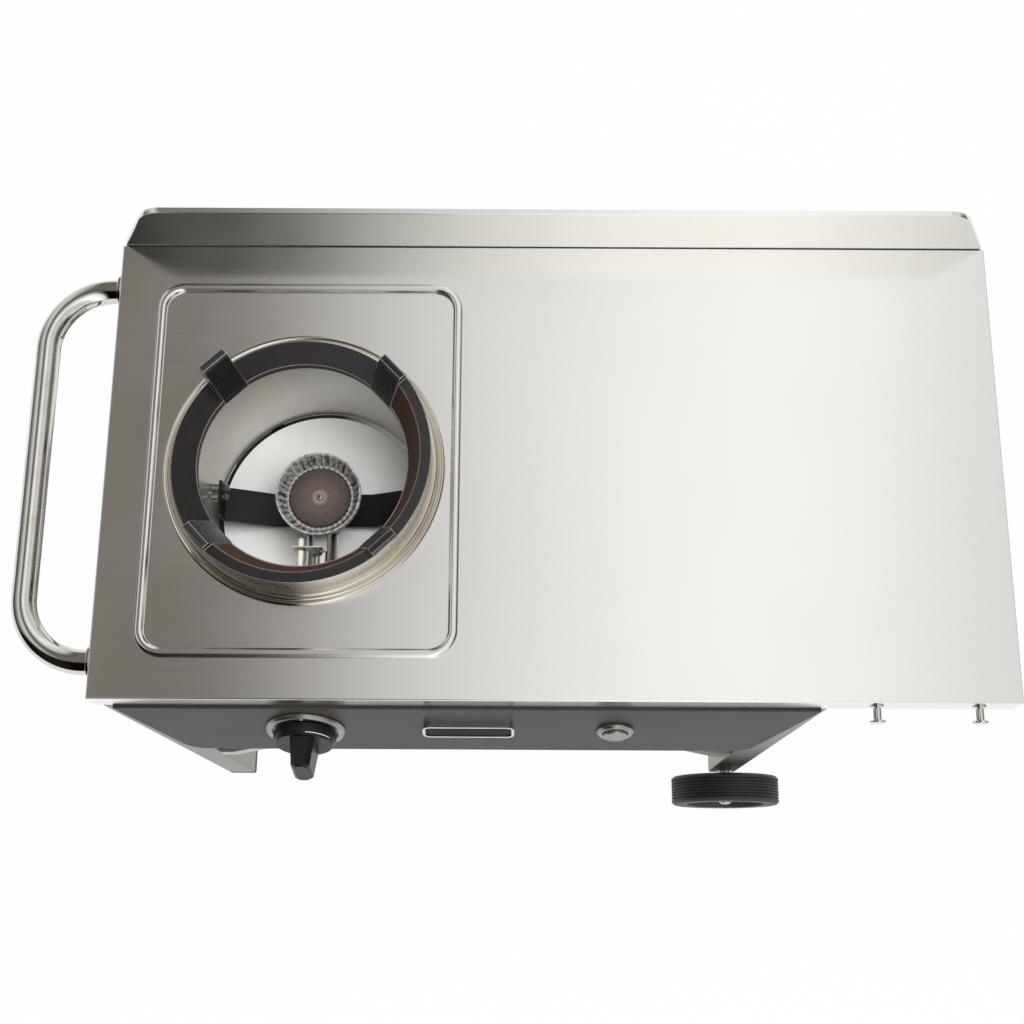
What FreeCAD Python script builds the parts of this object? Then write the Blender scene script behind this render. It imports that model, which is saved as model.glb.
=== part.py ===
import FreeCAD, Part
import math
import os
import re

import Sketcher

# Outdoor wok station, in millimetres.
# While it is built, u runs right from the left edge of the top, v runs back from
# the front edge of the top and z runs up from the floor. At the end every piece is
# moved so that the origin is the middle of the footprint.

Vector = FreeCAD.Vector
Rotation = FreeCAD.Rotation
Placement = FreeCAD.Placement
ACROSS = Vector(1, 0, 0)
ALONG = Vector(0, 1, 0)
UPRIGHT = Vector(0, 0, 1)

SIZES = {
    # Folded top
    "top_width": 914,
    "top_depth": 483,
    "top_height": 750,
    "skirt_height": 40,
    "top_sheet": 1.2,
    "fold_r": 1.5,
    # Pressed bead round the burner
    "bead_left": 47,
    "bead_right": 357,
    "bead_front": 46,
    "bead_back_margin": 49,
    "bead_width": 10,
    "bead_height": 4.5,
    "bead_corner_r": 24,
    "bead_crown_r": 4,
    # Backsplash
    "splash_height": 75,
    "splash_lap": 34,
    "splash_rim": 6,
    "splash_corner_r": 27,
    "splash_taper": 35,
    "splash_sheet": 1.2,
    "splash_inset": 3,
    # Burner place and collar
    "burner_u": 203,
    "burner_v": 236.5,
    "collar_base_r": 143.5,
    "collar_bead": 4,
    "collar_groove_r": 138.5,
    "collar_groove": 2.8,
    "collar_rim_r": 135.5,
    "collar_edge": 1.2,
    "collar_height": 10,
    "collar_bore_r": 126,
    "collar_sheet": 2,
    # Cast wok ring with its lugs and the half guard
    "ring_outer_r": 132,
    "ring_inner_r": 106,
    "ring_edge": 5,
    "ring_lip": 5,
    "ring_spigot_gap": 0.8,
    "ring_seat_gap": 0.25,
    "guard_turn": 180,
    "guard_height": 36.8,
    "guard_foot_r": 107,
    "guard_top_r": 121,
    "lug_count": 4,
    "lug_turn": 43.2,
    "lug_width": 30,
    "lug_height": 45.2,
    "lug_foot_r": 104.5,
    "lug_top_r": 122.5,
    "lug_out_r": 131,
    "lug_edge": 2.4,
    "lug_root": 3,
    # Bowl and pan
    "bowl_top_r": 125,
    "bowl_foot_r": 120.5,
    "bowl_depth": 174,
    "bowl_sheet": 1,
    "bowl_lip": 9,
    "bowl_gap": 0.5,
    "pan_sheet": 1.2,
    "pan_gap": 4,
    "pan_step": 4.5,
    "pan_ear_count": 3,
    "pan_ear_width": 16,
    "pan_ear_depth": 2,
    # Burner
    "burner_off": 2.5,
    "burner_drop": 91.5,
    "head_r": 46,
    "head_height": 68.5,
    "head_rim": 8,
    "head_wall": 2,
    "head_cup": 19,
    "head_neck_r": 22,
    "head_neck_height": 22,
    "head_boss_reach": 34,
    "flute_count": 36,
    "flute_width": 3,
    "flute_depth": 2.5,
    "cap_r": 34,
    "cap_room": 1,
    "cap_height": 4,
    "cap_edge": 2,
    "cap_notch_count": 36,
    "cap_notch_depth": 1.6,
    "cap_notch_width": 2.4,
    "cap_screw_r": 4,
    "cap_screw_height": 2.5,
    # Strap that carries the burner
    "strap_width": 38,
    "strap_thick": 3,
    "strap_flat": 108,
    "strap_rise": 26,
    "strap_tab": 30,
    "strap_standoff": 10.6,
    "strap_bolt_r": 3,
    "strap_bolt_pitch": 10,
    "strap_bolt_back": 9,
    "strap_bolt_head_r": 4.7,
    "strap_bolt_head": 4,
    "strap_bolt_end": 5,
    "strap_bolt_length": 26,
    "bolt_gap": 0.25,
    "seat_gap": 0.2,
    # Mixer tube and air shutter
    "tube_r": 17.5,
    "tube_wall": 1.5,
    "tube_front_v": 52,
    "tube_hole_gap": 1.5,
    "shutter_wall": 2.5,
    "shutter_length": 26,
    "shutter_slot_length": 14,
    "shutter_slot_width": 12,
    # Spark electrode and its clip on the tube
    "electrode_side": 19,
    "electrode_ahead": 89.5,
    "electrode_lift": 12.6,
    "electrode_r": 3.2,
    "electrode_length": 45,
    "electrode_wire_r": 1,
    "electrode_wire": 9,
    "clip_ahead": 56.5,
    "clip_foot": 25,
    "clip_width": 15,
    "clip_plate_width": 32,
    "clip_plate_height": 19,
    "clip_edge": 5,
    "clip_sheet": 1.5,
    # Control panel
    "panel_top_left": 15,
    "panel_top_width": 711,
    "panel_bottom_width": 590,
    "panel_height": 108,
    "panel_tilt": 15,
    "panel_top_depth": 4,
    "panel_sheet": 1.5,
    "panel_corner_r": 28,
    "panel_below_skirt": 5,
    "panel_gap": 0.2,
    # Badge plate
    "badge_u": 371,
    "badge_down": 45,
    "badge_width": 94,
    "badge_height": 27,
    "badge_thick": 6,
    "badge_rim": 2.5,
    "badge_recess": 1.5,
    "badge_corner_r": 8,
    # Knob, bezel and gas valve
    "knob_down": 50,
    "bezel_r": 41,
    "bezel_height": 8,
    "bezel_dish_r": 35,
    "bezel_floor": 2.5,
    "bezel_hole_r": 10,
    "knob_r": 32.3,
    "knob_top_r": 29,
    "knob_lift": 6.5,
    "knob_skirt_height": 12,
    "grip_length": 50,
    "grip_width": 25,
    "grip_top_width": 19,
    "knob_tip": 56,
    "grip_corner": 5,
    "grip_edge": 3,
    "knob_travel": 3,
    "stem_r": 4,
    "stem_fit": 0.05,
    "stem_in": 30,
    "stem_out": 34,
    "stem_collar_r": 7,
    "stem_collar": 3,
    "cup_r": 9,
    "cup_depth": 9,
    "cup_thick": 3,
    "valve_r": 15,
    "valve_length": 48,
    "valve_flange_r": 21,
    "valve_flange": 3,
    "valve_room_gap": 0.4,
    "valve_port": 30,
    "valve_side_r": 8,
    "drop_r": 7,
    "nozzle_r": 4,
    "nozzle_in_tube": 6,
    # Gas pipe and flare fitting
    "gas_pipe_r": 6,
    "gas_pipe_length": 70,
    "inlet_hex_r": 10.5,
    "inlet_hex": 12,
    "inlet_thread_r": 7.94,
    "inlet_thread": 16,
    "inlet_cone": 5,
    "inlet_tip_r": 5,
    # Igniter
    "igniter_u": 522,
    "igniter_down": 50,
    "igniter_ring_r": 19.2,
    "igniter_ring": 5.5,
    "igniter_neck_r": 15,
    "igniter_neck": 18,
    "igniter_panel_gap": 0.3,
    "button_r": 12.4,
    "button_gap": 0.3,
    "button_out": 8.5,
    "button_in": 8,
    "button_edge": 1.5,
    "button_stem_r": 5,
    "button_stem": 18,
    "module_length": 46,
    "module_bore": 24,
    # Legs and rails
    "base_width": 735,
    "leg_side": 38,
    "leg_wall": 1.5,
    "leg_gap": 0.3,
    "leg_corner_r": 3,
    "right_leg_lift": 50,
    "foot_height": 14,
    "foot_plug": 18,
    "foot_fit": 0.3,
    "rail_width": 20,
    "rail_height": 38,
    # Lower shelf
    "shelf_height": 275,
    "shelf_edge": 30,
    "shelf_sheet": 1.2,
    "shelf_shoulder": 16,
    "shelf_slope": 190,
    "shelf_cut_back": 38,
    "tank_hole_r": 106,
    "tank_hole_u": 505,
    "tank_hole_v": 250,
    # Side handle
    "handle_reach": 88,
    "handle_tube_r": 12.7,
    "handle_wall": 1.5,
    "handle_front": 39,
    "handle_back_margin": 45,
    "handle_bend_r": 66,
    "handle_below": 20,
    "flange_r": 18,
    "flange_thick": 4,
    "flange_fit": 0.2,
    # Tool pegs
    "peg_right_margin": 37.5,
    "peg_pitch": 101,
    "peg_below": 20,
    "peg_r": 4,
    "peg_length": 14.5,
    "peg_head_r": 8,
    "peg_head": 3,
    "peg_foot_r": 7,
    "peg_foot": 2,
    # Wheels and axle
    "wheel_r": 75,
    "wheel_width": 38,
    "wheel_gap": 10,
    "tyre_inner_r": 59,
    "tyre_fit": 0.1,
    "tyre_edge": 3,
    "groove_count": 7,
    "groove_width": 2.2,
    "groove_depth": 2,
    "hub_boss_r": 14,
    "hub_recess": 10,
    "hub_rim": 4,
    "hub_web": 6,
    "hub_web_at": 12,
    "hub_slot_count": 6,
    "hub_slot_r": 10.5,
    "axle_r": 6,
    "axle_fit": 0.05,
    "axle_leg_gap": 0.2,
    "wheel_play": 0.4,
    "spacer_r": 10,
    "cap_nut_r": 12,
    "cap_nut": 9,
}

FORMULAS = {
    "under_top": "top_height - top_sheet",
    "skirt_bottom": "top_height - skirt_height",
    "leg_near": "top_sheet + leg_gap",
    "leg_far_v": "top_depth - leg_near - leg_side",
    "leg_right_u": "base_width - leg_side",
    "hole_r": "bowl_top_r + bowl_gap",
    "bead_back": "top_depth - bead_back_margin",
    "handle_back": "top_depth - handle_back_margin",
    "ring_spigot_r": "collar_bore_r - ring_spigot_gap",
    "lug_top": "ring_edge + lug_height",
    "pan_r": "bowl_foot_r - bowl_sheet - pan_gap",
    "head_u": "burner_u + burner_off",
    "strap_below": "burner_drop + head_height",
    "bowl_slope": "(bowl_top_r - bowl_foot_r) / bowl_depth",
    "tab_below": "strap_below + strap_thick - strap_rise",
    "tab_wall_r": "bowl_top_r - bowl_sheet - bowl_slope * tab_below",
    "strap_reach": "sqrt(tab_wall_r ^ 2 - strap_width ^ 2 / 4) - strap_standoff",
    "cap_seat_r": "cap_r + cap_room",
    "cap_below": "burner_drop + head_cup",
    "tube_back_v": "burner_v - head_boss_reach",
    "tube_z": "top_height - strap_below + seat_gap + tube_r",
    "shutter_r": "tube_r + seat_gap + shutter_wall",
    "clip_z": "tube_z + tube_r + seat_gap",
    "tilt_sin": "sin(panel_tilt)",
    "tilt_cos": "cos(panel_tilt)",
    "panel_drop": "panel_height * tilt_cos",
    "panel_lean": "panel_height * tilt_sin",
    "panel_taper": "(panel_top_width - panel_bottom_width) / 2",
    "panel_back_v": "leg_near - panel_gap",
    "panel_face_v": "panel_back_v - panel_top_depth",
    "panel_top_z": "skirt_bottom - panel_below_skirt",
    "port_v": "panel_face_v - knob_down * tilt_sin + valve_port * tilt_cos",
    "port_z": "panel_top_z - knob_down * tilt_cos - valve_port * tilt_sin",
    "grip_height": "knob_tip - knob_lift - knob_skirt_height",
    "cup_bottom": "cup_depth + seat_gap + cup_thick",
    "valve_room": "cup_bottom + knob_travel + seat_gap",
    "stem_room": "stem_in + knob_travel + seat_gap",
    "axle_u": "leg_right_u + leg_side / 2",
    "wheel_in_front_v": "leg_near - wheel_gap",
    "wheel_in_rear_v": "top_depth - leg_near + wheel_gap",
    "axle_front_v": "wheel_in_front_v - wheel_width + hub_recess - wheel_play",
    "axle_rear_v": "wheel_in_rear_v + wheel_width - hub_recess + wheel_play",
    "hub_r": "tyre_inner_r - tyre_fit",
}

doc = FreeCAD.newDocument("wok_station")
sheet = doc.addObject("Spreadsheet::Sheet", "Sizes")
pieces = {}


def fill_sheet():
    """Write the driving sizes as plain numbers and the worked-out sizes below them."""
    row = 0
    for name, value in SIZES.items():
        row += 1
        sheet.set(f"A{row}", name)
        sheet.set(f"B{row}", str(value))
        sheet.setAlias(f"B{row}", name)
    for name, formula in FORMULAS.items():
        row += 1
        sheet.set(f"A{row}", name)
        sheet.set(f"B{row}", f"={formula}")
        sheet.setAlias(f"B{row}", name)
    doc.recompute()


def size(name):
    """Read one size from the sheet as a number."""
    return float(getattr(sheet, name))


def rule(text):
    """Turn a sum of named sizes into an expression on the sheet."""
    def cell(word):
        known = word[0] in SIZES or word[0] in FORMULAS
        return f"Sizes.{word[0]}" if known else word[0]
    return re.sub(r"[a-z][a-z0-9_]*", cell, str(text))


def keep(solid, label, base=None, turn=None):
    """Name a finished piece, put it in its place and list it for writing."""
    solid.Label = label
    if base is not None:
        solid.Placement = Placement(base, turn or Rotation())
    pieces[label] = solid
    return solid


# Helpers for bodies with sketches


def new_body(name):
    """Start a body for one sketched piece."""
    return doc.addObject("PartDesign::Body", f"{name}_body")


def datum(body, role):
    """Find an origin plane or axis of a body."""
    return next(part for part in body.Origin.OriginFeatures if part.Role == role)


def sketch_on(body, role, lift=None):
    """Attach a new sketch to an origin plane, lifted along its normal if asked."""
    sketch = body.newObject("Sketcher::SketchObject", f"{body.Name}_sketch")
    sketch.AttachmentSupport = [(datum(body, role), "")]
    sketch.MapMode = "FlatFace"
    if lift is not None:
        sketch.setExpression("AttachmentOffset.Base.z", rule(lift))
    return sketch


def hold(sketch, kind, geometry, point, value, text):
    """Hold a point at a distance from the sketch origin, given by named sizes."""
    place = sketch.addConstraint(Sketcher.Constraint(kind, -1, 1, geometry, point, value))
    sketch.setExpression(f"Constraints[{place}]", rule(text))


def outline(sketch, corners):
    """Draw a closed outline of straight sides through corners given by named sizes."""
    first = sketch.GeometryCount
    count = len(corners)
    start_r = 100
    turns = [2 * math.pi * index / count for index in range(count)]
    start = [Vector(start_r * math.cos(turn), start_r * math.sin(turn), 0) for turn in turns]
    for index in range(count):
        sketch.addGeometry(Part.LineSegment(start[index], start[(index + 1) % count]))
    for index in range(count):
        after = first + (index + 1) % count
        sketch.addConstraint(Sketcher.Constraint("Coincident", first + index, 2, after, 1))
    for index, (across, up) in enumerate(corners):
        hold(sketch, "DistanceX", first + index, 1, start[index].x, across)
        hold(sketch, "DistanceY", first + index, 1, start[index].y, up)


def rectangle(sketch, left, low, right, high):
    """Draw a rectangle between two corners."""
    outline(sketch, [(left, low), (right, low), (right, high), (left, high)])


def circle(sketch, radius, across="0", up="0"):
    """Draw a circle whose radius and centre are named sizes."""
    start_r = 10
    place = sketch.addGeometry(Part.Circle(Vector(start_r, start_r, 0), UPRIGHT, start_r))
    held = sketch.addConstraint(Sketcher.Constraint("Radius", place, start_r))
    sketch.setExpression(f"Constraints[{held}]", rule(radius))
    hold(sketch, "DistanceX", place, 3, start_r, across)
    hold(sketch, "DistanceY", place, 3, start_r, up)


def grow(body, kind, sketch, length=None, both_ways=False, turned=False):
    """Add a pad or pocket from a sketch; without a length it goes through everything."""
    feature = body.newObject(f"PartDesign::{kind}", f"{body.Name}_{kind}")
    feature.Profile = sketch
    if length is None:
        feature.Type = "ThroughAll"
    else:
        feature.setExpression("Length", rule(length))
    if both_ways:
        feature.SideType = "Symmetric"
    feature.Reversed = turned
    before = body.Shape.Volume if kind == "Pocket" else 0
    doc.recompute()
    if kind == "Pocket" and body.Shape.Volume >= before:
        raise RuntimeError(f"{body.Name}: a pocket cut nothing")
    return feature


def revolve(body, corners, angle="360"):
    """Turn an outline in the XZ plane round the Z axis, once or by a named angle."""
    sketch = sketch_on(body, "XZ_Plane")
    outline(sketch, corners)
    feature = body.newObject("PartDesign::Revolution", f"{body.Name}_turned")
    feature.Profile = sketch
    feature.ReferenceAxis = (sketch, ["V_Axis"])
    feature.setExpression("Angle", rule(angle))
    doc.recompute()
    return feature


def ring_of(body, features, count):
    """Repeat features evenly round the Z axis."""
    pattern = body.newObject("PartDesign::PolarPattern", f"{body.Name}_ring")
    pattern.Originals = features
    pattern.Axis = (datum(body, "Z_Axis"), [""])
    pattern.Angle = 360
    pattern.setExpression("Occurrences", rule(count))
    body.Tip = pattern
    doc.recompute()
    return pattern


def edges_where(shape, test):
    """Name the edges of a shape that pass a test."""
    return [f"Edge{index + 1}" for index, edge in enumerate(shape.Edges) if test(edge)]


def faces_where(shape, test):
    """Name the faces of a shape that pass a test."""
    return [f"Face{index + 1}" for index, face in enumerate(shape.Faces) if test(face)]


def round_edges(body, radius, test):
    """Fillet the edges of a body's last feature that pass a test."""
    base = body.Tip
    feature = body.newObject("PartDesign::Fillet", f"{body.Name}_round")
    feature.Base = (base, edges_where(base.Shape, test))
    feature.setExpression("Radius", rule(radius))
    body.Tip = feature
    doc.recompute()
    return feature


def bevel_edges(body, width, test):
    """Chamfer the edges of a body's last feature that pass a test."""
    base = body.Tip
    feature = body.newObject("PartDesign::Chamfer", f"{body.Name}_bevel")
    feature.Base = (base, edges_where(base.Shape, test))
    feature.setExpression("Size", rule(width))
    body.Tip = feature
    doc.recompute()
    return feature


def hollow(body, wall, test):
    """Shell a body inwards, open at the faces that pass a test."""
    base = body.Tip
    feature = body.newObject("PartDesign::Thickness", f"{body.Name}_shell")
    feature.Base = (base, faces_where(base.Shape, test))
    feature.setExpression("Value", rule(wall))
    feature.Reversed = True
    feature.Join = "Intersection"
    body.Tip = feature
    doc.recompute()
    return feature


def is_level(edge, height):
    """Tell whether an edge lies flat at one height."""
    box = edge.BoundBox
    near = 1e-4
    return abs(box.ZMin - height) < near and abs(box.ZMax - height) < near


def runs_along(edge, axis):
    """Tell whether an edge is a straight one along an axis."""
    if len(edge.Vertexes) != 2 or not isinstance(edge.Curve, Part.Line):
        return False
    side = edge.Vertexes[1].Point - edge.Vertexes[0].Point
    return side.Length - abs(side.dot(axis)) < 1e-4


# Helpers for primitives


def box(name, length, width, height, base):
    """Make a block whose three sides are named sizes."""
    solid = doc.addObject("Part::Box", name)
    solid.setExpression("Length", rule(length))
    solid.setExpression("Width", rule(width))
    solid.setExpression("Height", rule(height))
    solid.Placement = Placement(base, Rotation())
    return solid


def rod(name, radius, height, base, axis=UPRIGHT):
    """Make a round rod from a base point along an axis."""
    solid = doc.addObject("Part::Cylinder", name)
    solid.setExpression("Radius", rule(radius))
    solid.setExpression("Height", rule(height))
    solid.Placement = Placement(base, Rotation(UPRIGHT, axis))
    return solid


def hexagon(name, radius, height, base, axis=UPRIGHT):
    """Make a six-sided prism from a base point along an axis."""
    solid = doc.addObject("Part::Prism", name)
    solid.Polygon = 6
    solid.setExpression("Circumradius", rule(radius))
    solid.setExpression("Height", rule(height))
    solid.Placement = Placement(base, Rotation(UPRIGHT, axis))
    return solid


def fuse(name, solids):
    """Join solids into one."""
    joined = doc.addObject("Part::MultiFuse", name)
    joined.Shapes = solids
    joined.Refine = True
    return joined


def cut(name, base, tool):
    """Cut one solid out of another."""
    result = doc.addObject("Part::Cut", name)
    result.Base = base
    result.Tool = tool
    return result


# The folded top and its backsplash


def build_top():
    """Top sheet with a skirt, the burner opening and the pressed bead."""
    body = new_body("table_top")
    sketch = sketch_on(body, "XY_Plane")
    rectangle(sketch, "0", "0", "top_width", "top_depth")
    grow(body, "Pad", sketch, "skirt_height")
    fold_height = size("skirt_height")
    round_edges(body, "fold_r", lambda edge: is_level(edge, fold_height))
    sketch = sketch_on(body, "XY_Plane")
    rectangle(sketch, "top_sheet", "top_sheet", "top_width - top_sheet", "top_depth - top_sheet")
    grow(body, "Pocket", sketch, "skirt_height - top_sheet", turned=True)
    sketch = sketch_on(body, "XY_Plane", "skirt_height")
    half = "bead_width / 2"
    rectangle(sketch, f"bead_left - {half}", f"bead_front - {half}",
              f"bead_right + {half}", f"bead_back + {half}")
    rectangle(sketch, f"bead_left + {half}", f"bead_front + {half}",
              f"bead_right - {half}", f"bead_back - {half}")
    grow(body, "Pad", sketch, "bead_height")

    def on_bead(edge, outside):
        point = edge.Vertexes[0].Point
        out = size("bead_width") / 2 if outside else -size("bead_width") / 2
        beside = min(abs(point.x - size("bead_left") + out), abs(point.x - size("bead_right") - out))
        raised = edge.BoundBox.ZMax > fold_height + size("bead_height") / 2
        return raised and beside < 1e-3 and runs_along(edge, UPRIGHT)
    round_edges(body, f"bead_corner_r + {half}", lambda edge: on_bead(edge, True))
    round_edges(body, f"bead_corner_r - {half}", lambda edge: on_bead(edge, False))
    crown = fold_height + size("bead_height")
    round_edges(body, "bead_crown_r", lambda edge: is_level(edge, crown))
    sketch = sketch_on(body, "XY_Plane")
    circle(sketch, "hole_r", "burner_u", "burner_v")
    grow(body, "Pocket", sketch, None, turned=True)
    keep(body, "table_top", Vector(0, 0, size("skirt_bottom")))


def build_splash():
    """Shallow folded pan, open behind, with slanted ends and rounded upper corners."""
    body = new_body("backsplash")
    sketch = sketch_on(body, "XZ_Plane")
    outline(sketch, [
        ("splash_inset", "-splash_lap"),
        ("top_width - splash_inset", "-splash_lap"),
        ("top_width - splash_inset", "0"),
        ("top_width - splash_inset - splash_taper", "splash_height"),
        ("splash_inset + splash_taper", "splash_height"),
        ("splash_inset", "0"),
    ])
    grow(body, "Pad", sketch, "splash_rim", turned=True)
    high = size("splash_height")
    round_edges(body, "splash_corner_r",
                lambda edge: runs_along(edge, ALONG) and abs(edge.BoundBox.ZMax - high) < 1e-3)
    back = size("splash_rim")
    low = -size("splash_lap")
    hollow(body, "splash_sheet",
           lambda face: face.BoundBox.YMin > back - 1e-3 or face.BoundBox.ZMax < low + 1e-3)
    keep(body, "backsplash", Vector(0, size("top_depth"), size("top_height")))


# Collar, wok ring, bowl and pan


def burner_point(below):
    """Point on the burner axis at a depth below the top surface."""
    return Vector(size("burner_u"), size("burner_v"), size("top_height") - below)


def build_collar():
    """Spun collar with a beaded foot on the top and a ledge turned in for the wok ring."""
    body = new_body("burner_collar")
    revolve(body, [
        ("collar_base_r", "0"),
        ("collar_base_r", "collar_bead / 2"),
        ("collar_base_r - collar_bead / 2", "collar_bead"),
        ("collar_groove_r", "collar_groove"),
        ("collar_rim_r + collar_edge", "collar_bead + collar_edge"),
        ("collar_rim_r", "collar_height - collar_edge"),
        ("collar_rim_r - collar_edge", "collar_height"),
        ("collar_bore_r", "collar_height"),
        ("collar_bore_r", "collar_height - collar_sheet"),
        ("collar_rim_r - collar_sheet", "collar_height - collar_sheet"),
        ("collar_rim_r - collar_edge", "collar_edge"),
        ("collar_groove_r + collar_edge", "collar_edge"),
        ("collar_groove_r + collar_sheet", "0"),
    ])
    keep(body, "burner_collar", burner_point(0))


def build_wok_ring():
    """Cast ring with a spigot in the collar, a raised guard round half of it and four lugs."""
    body = new_body("wok_ring")
    revolve(body, [
        ("ring_outer_r", "0"),
        ("ring_outer_r", "ring_edge"),
        ("ring_inner_r", "ring_edge"),
        ("ring_inner_r", "-ring_lip"),
        ("ring_spigot_r", "-ring_lip"),
        ("ring_spigot_r", "0"),
    ])
    guard = revolve(body, [
        ("guard_foot_r", "0"),
        ("guard_foot_r", "ring_edge"),
        ("guard_top_r", "ring_edge + guard_height"),
        ("ring_outer_r", "ring_edge + guard_height"),
        ("ring_outer_r", "0"),
    ], "guard_turn")
    guard.Reversed = True
    sketch = sketch_on(body, "XZ_Plane")
    outline(sketch, [
        ("lug_foot_r", "-ring_lip"),
        ("lug_foot_r", "ring_edge"),
        ("lug_top_r - lug_edge / 2", "lug_top - lug_edge"),
        ("lug_top_r + lug_edge / 2", "lug_top"),
        ("lug_out_r - lug_edge / 2", "lug_top"),
        ("lug_out_r", "lug_top - lug_edge"),
        ("lug_out_r", "ring_edge - lug_root"),
        ("ring_inner_r + lug_root", "ring_edge - lug_root"),
        ("ring_inner_r + lug_root", "-ring_lip"),
    ])
    lug = grow(body, "Pad", sketch, "lug_width", both_ways=True)
    ring_of(body, [lug], "lug_count")
    seat = burner_point(-size("collar_height") - size("ring_seat_gap"))
    keep(body, "wok_ring", seat, Rotation(UPRIGHT, size("lug_turn")))


def build_bowl():
    """Tapered bowl wall hung by its lip, with holes for the tube and the bolts."""
    body = new_body("burner_bowl")
    revolve(body, [
        ("bowl_top_r + bowl_lip", "0"),
        ("bowl_top_r + bowl_lip", "bowl_sheet"),
        ("bowl_top_r - bowl_sheet", "bowl_sheet"),
        ("bowl_foot_r - bowl_sheet", "-bowl_depth"),
        ("bowl_foot_r", "-bowl_depth"),
        ("bowl_top_r", "0"),
    ])
    body.Placement = Placement(burner_point(0), Rotation())
    tube_hole = rod("bowl_tube_hole", "tube_r + tube_hole_gap", "bowl_top_r", tube_point("burner_v"),
                    -ALONG)
    holes = [tube_hole] + bolt_rods("bowl_bolt_hole", "strap_bolt_r + bolt_gap", "bowl_top_r", 0)
    keep(cut("burner_bowl", body, fuse("bowl_holes", holes)), "burner_bowl")


def build_pan():
    """Pan below the bowl with a rim stepped down round it, hung by ears from the bowl's foot."""
    body = new_body("drip_pan")
    revolve(body, [
        ("0", "0"),
        ("pan_r", "0"),
        ("pan_r", "-pan_step"),
        ("bowl_foot_r", "-pan_step"),
        ("bowl_foot_r", "-pan_step - pan_sheet"),
        ("pan_r - pan_sheet", "-pan_step - pan_sheet"),
        ("pan_r - pan_sheet", "-pan_sheet"),
        ("0", "-pan_sheet"),
    ])
    sketch = sketch_on(body, "XY_Plane", "-pan_step - pan_sheet")
    rectangle(sketch, "bowl_foot_r - pan_ear_depth", "-pan_ear_width / 2",
              "bowl_foot_r", "pan_ear_width / 2")
    ear = grow(body, "Pad", sketch, "pan_step + pan_sheet")
    ring_of(body, [ear], "pan_ear_count")
    keep(body, "drip_pan", burner_point(size("bowl_depth")))


# Burner, strap, tube and electrode


def head_point(below):
    """Point on the burner head's axis, a little right of the bowl's, at a depth below the top."""
    return Vector(size("head_u"), size("burner_v"), size("top_height") - below)


def tube_point(v_name):
    """Point on the mixer tube's axis at a named distance from the front edge."""
    return Vector(size("head_u"), size(v_name), size("tube_z"))


def bolt_rods(name, radius, length, start, inward=False):
    """Four rods along X at the strap's bolt places, two on each side, from a distance out."""
    rods = []
    middle = size("tab_below") - size("strap_tab") / 2
    for side in (-1, 1):
        axis = ACROSS * (-side if inward else side)
        for step in (-0.5, 0.5):
            back = size("strap_bolt_back") + step * size("strap_bolt_pitch")
            base = burner_point(middle) + Vector(side * start, back, 0)
            rods.append(rod(f"{name}_{len(rods)}", radius, length, base, axis))
    return rods


def build_strap():
    """Bent flat bar across the bowl with an upright tab at each end."""
    body = new_body("burner_bracket")
    sketch = sketch_on(body, "XZ_Plane")
    half_flat = "strap_flat / 2"
    right = [
        (half_flat, "-strap_thick"),
        ("strap_reach", "strap_rise - strap_thick"),
        ("strap_reach", "strap_rise - strap_thick + strap_tab"),
        ("strap_reach - strap_thick", "strap_rise - strap_thick + strap_tab"),
        ("strap_reach - strap_thick", "strap_rise"),
        (half_flat, "0"),
    ]
    left = [(f"-({across})", up) for across, up in reversed(right)]
    outline(sketch, right + left)
    grow(body, "Pad", sketch, "strap_width", both_ways=True)
    body.Placement = Placement(burner_point(size("strap_below")), Rotation())
    holes = bolt_rods("strap_bolt_hole", "strap_bolt_r + bolt_gap", "bowl_top_r", 0)
    keep(cut("burner_bracket", body, fuse("strap_holes", holes)), "burner_bracket")

    outside = size("strap_reach")
    inside = outside - size("strap_thick")
    rods = bolt_rods("bracket_bolt", "strap_bolt_r", "strap_bolt_length", inside - size("strap_bolt_end"))
    heads = bolt_rods("bracket_nut", "strap_bolt_head_r", "strap_bolt_head", inside, True)
    spacers = bolt_rods("bracket_spacer", "strap_bolt_head_r", "strap_standoff", outside)
    keep(fuse("bracket_bolts", rods + heads + spacers), "bracket_bolts")


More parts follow.
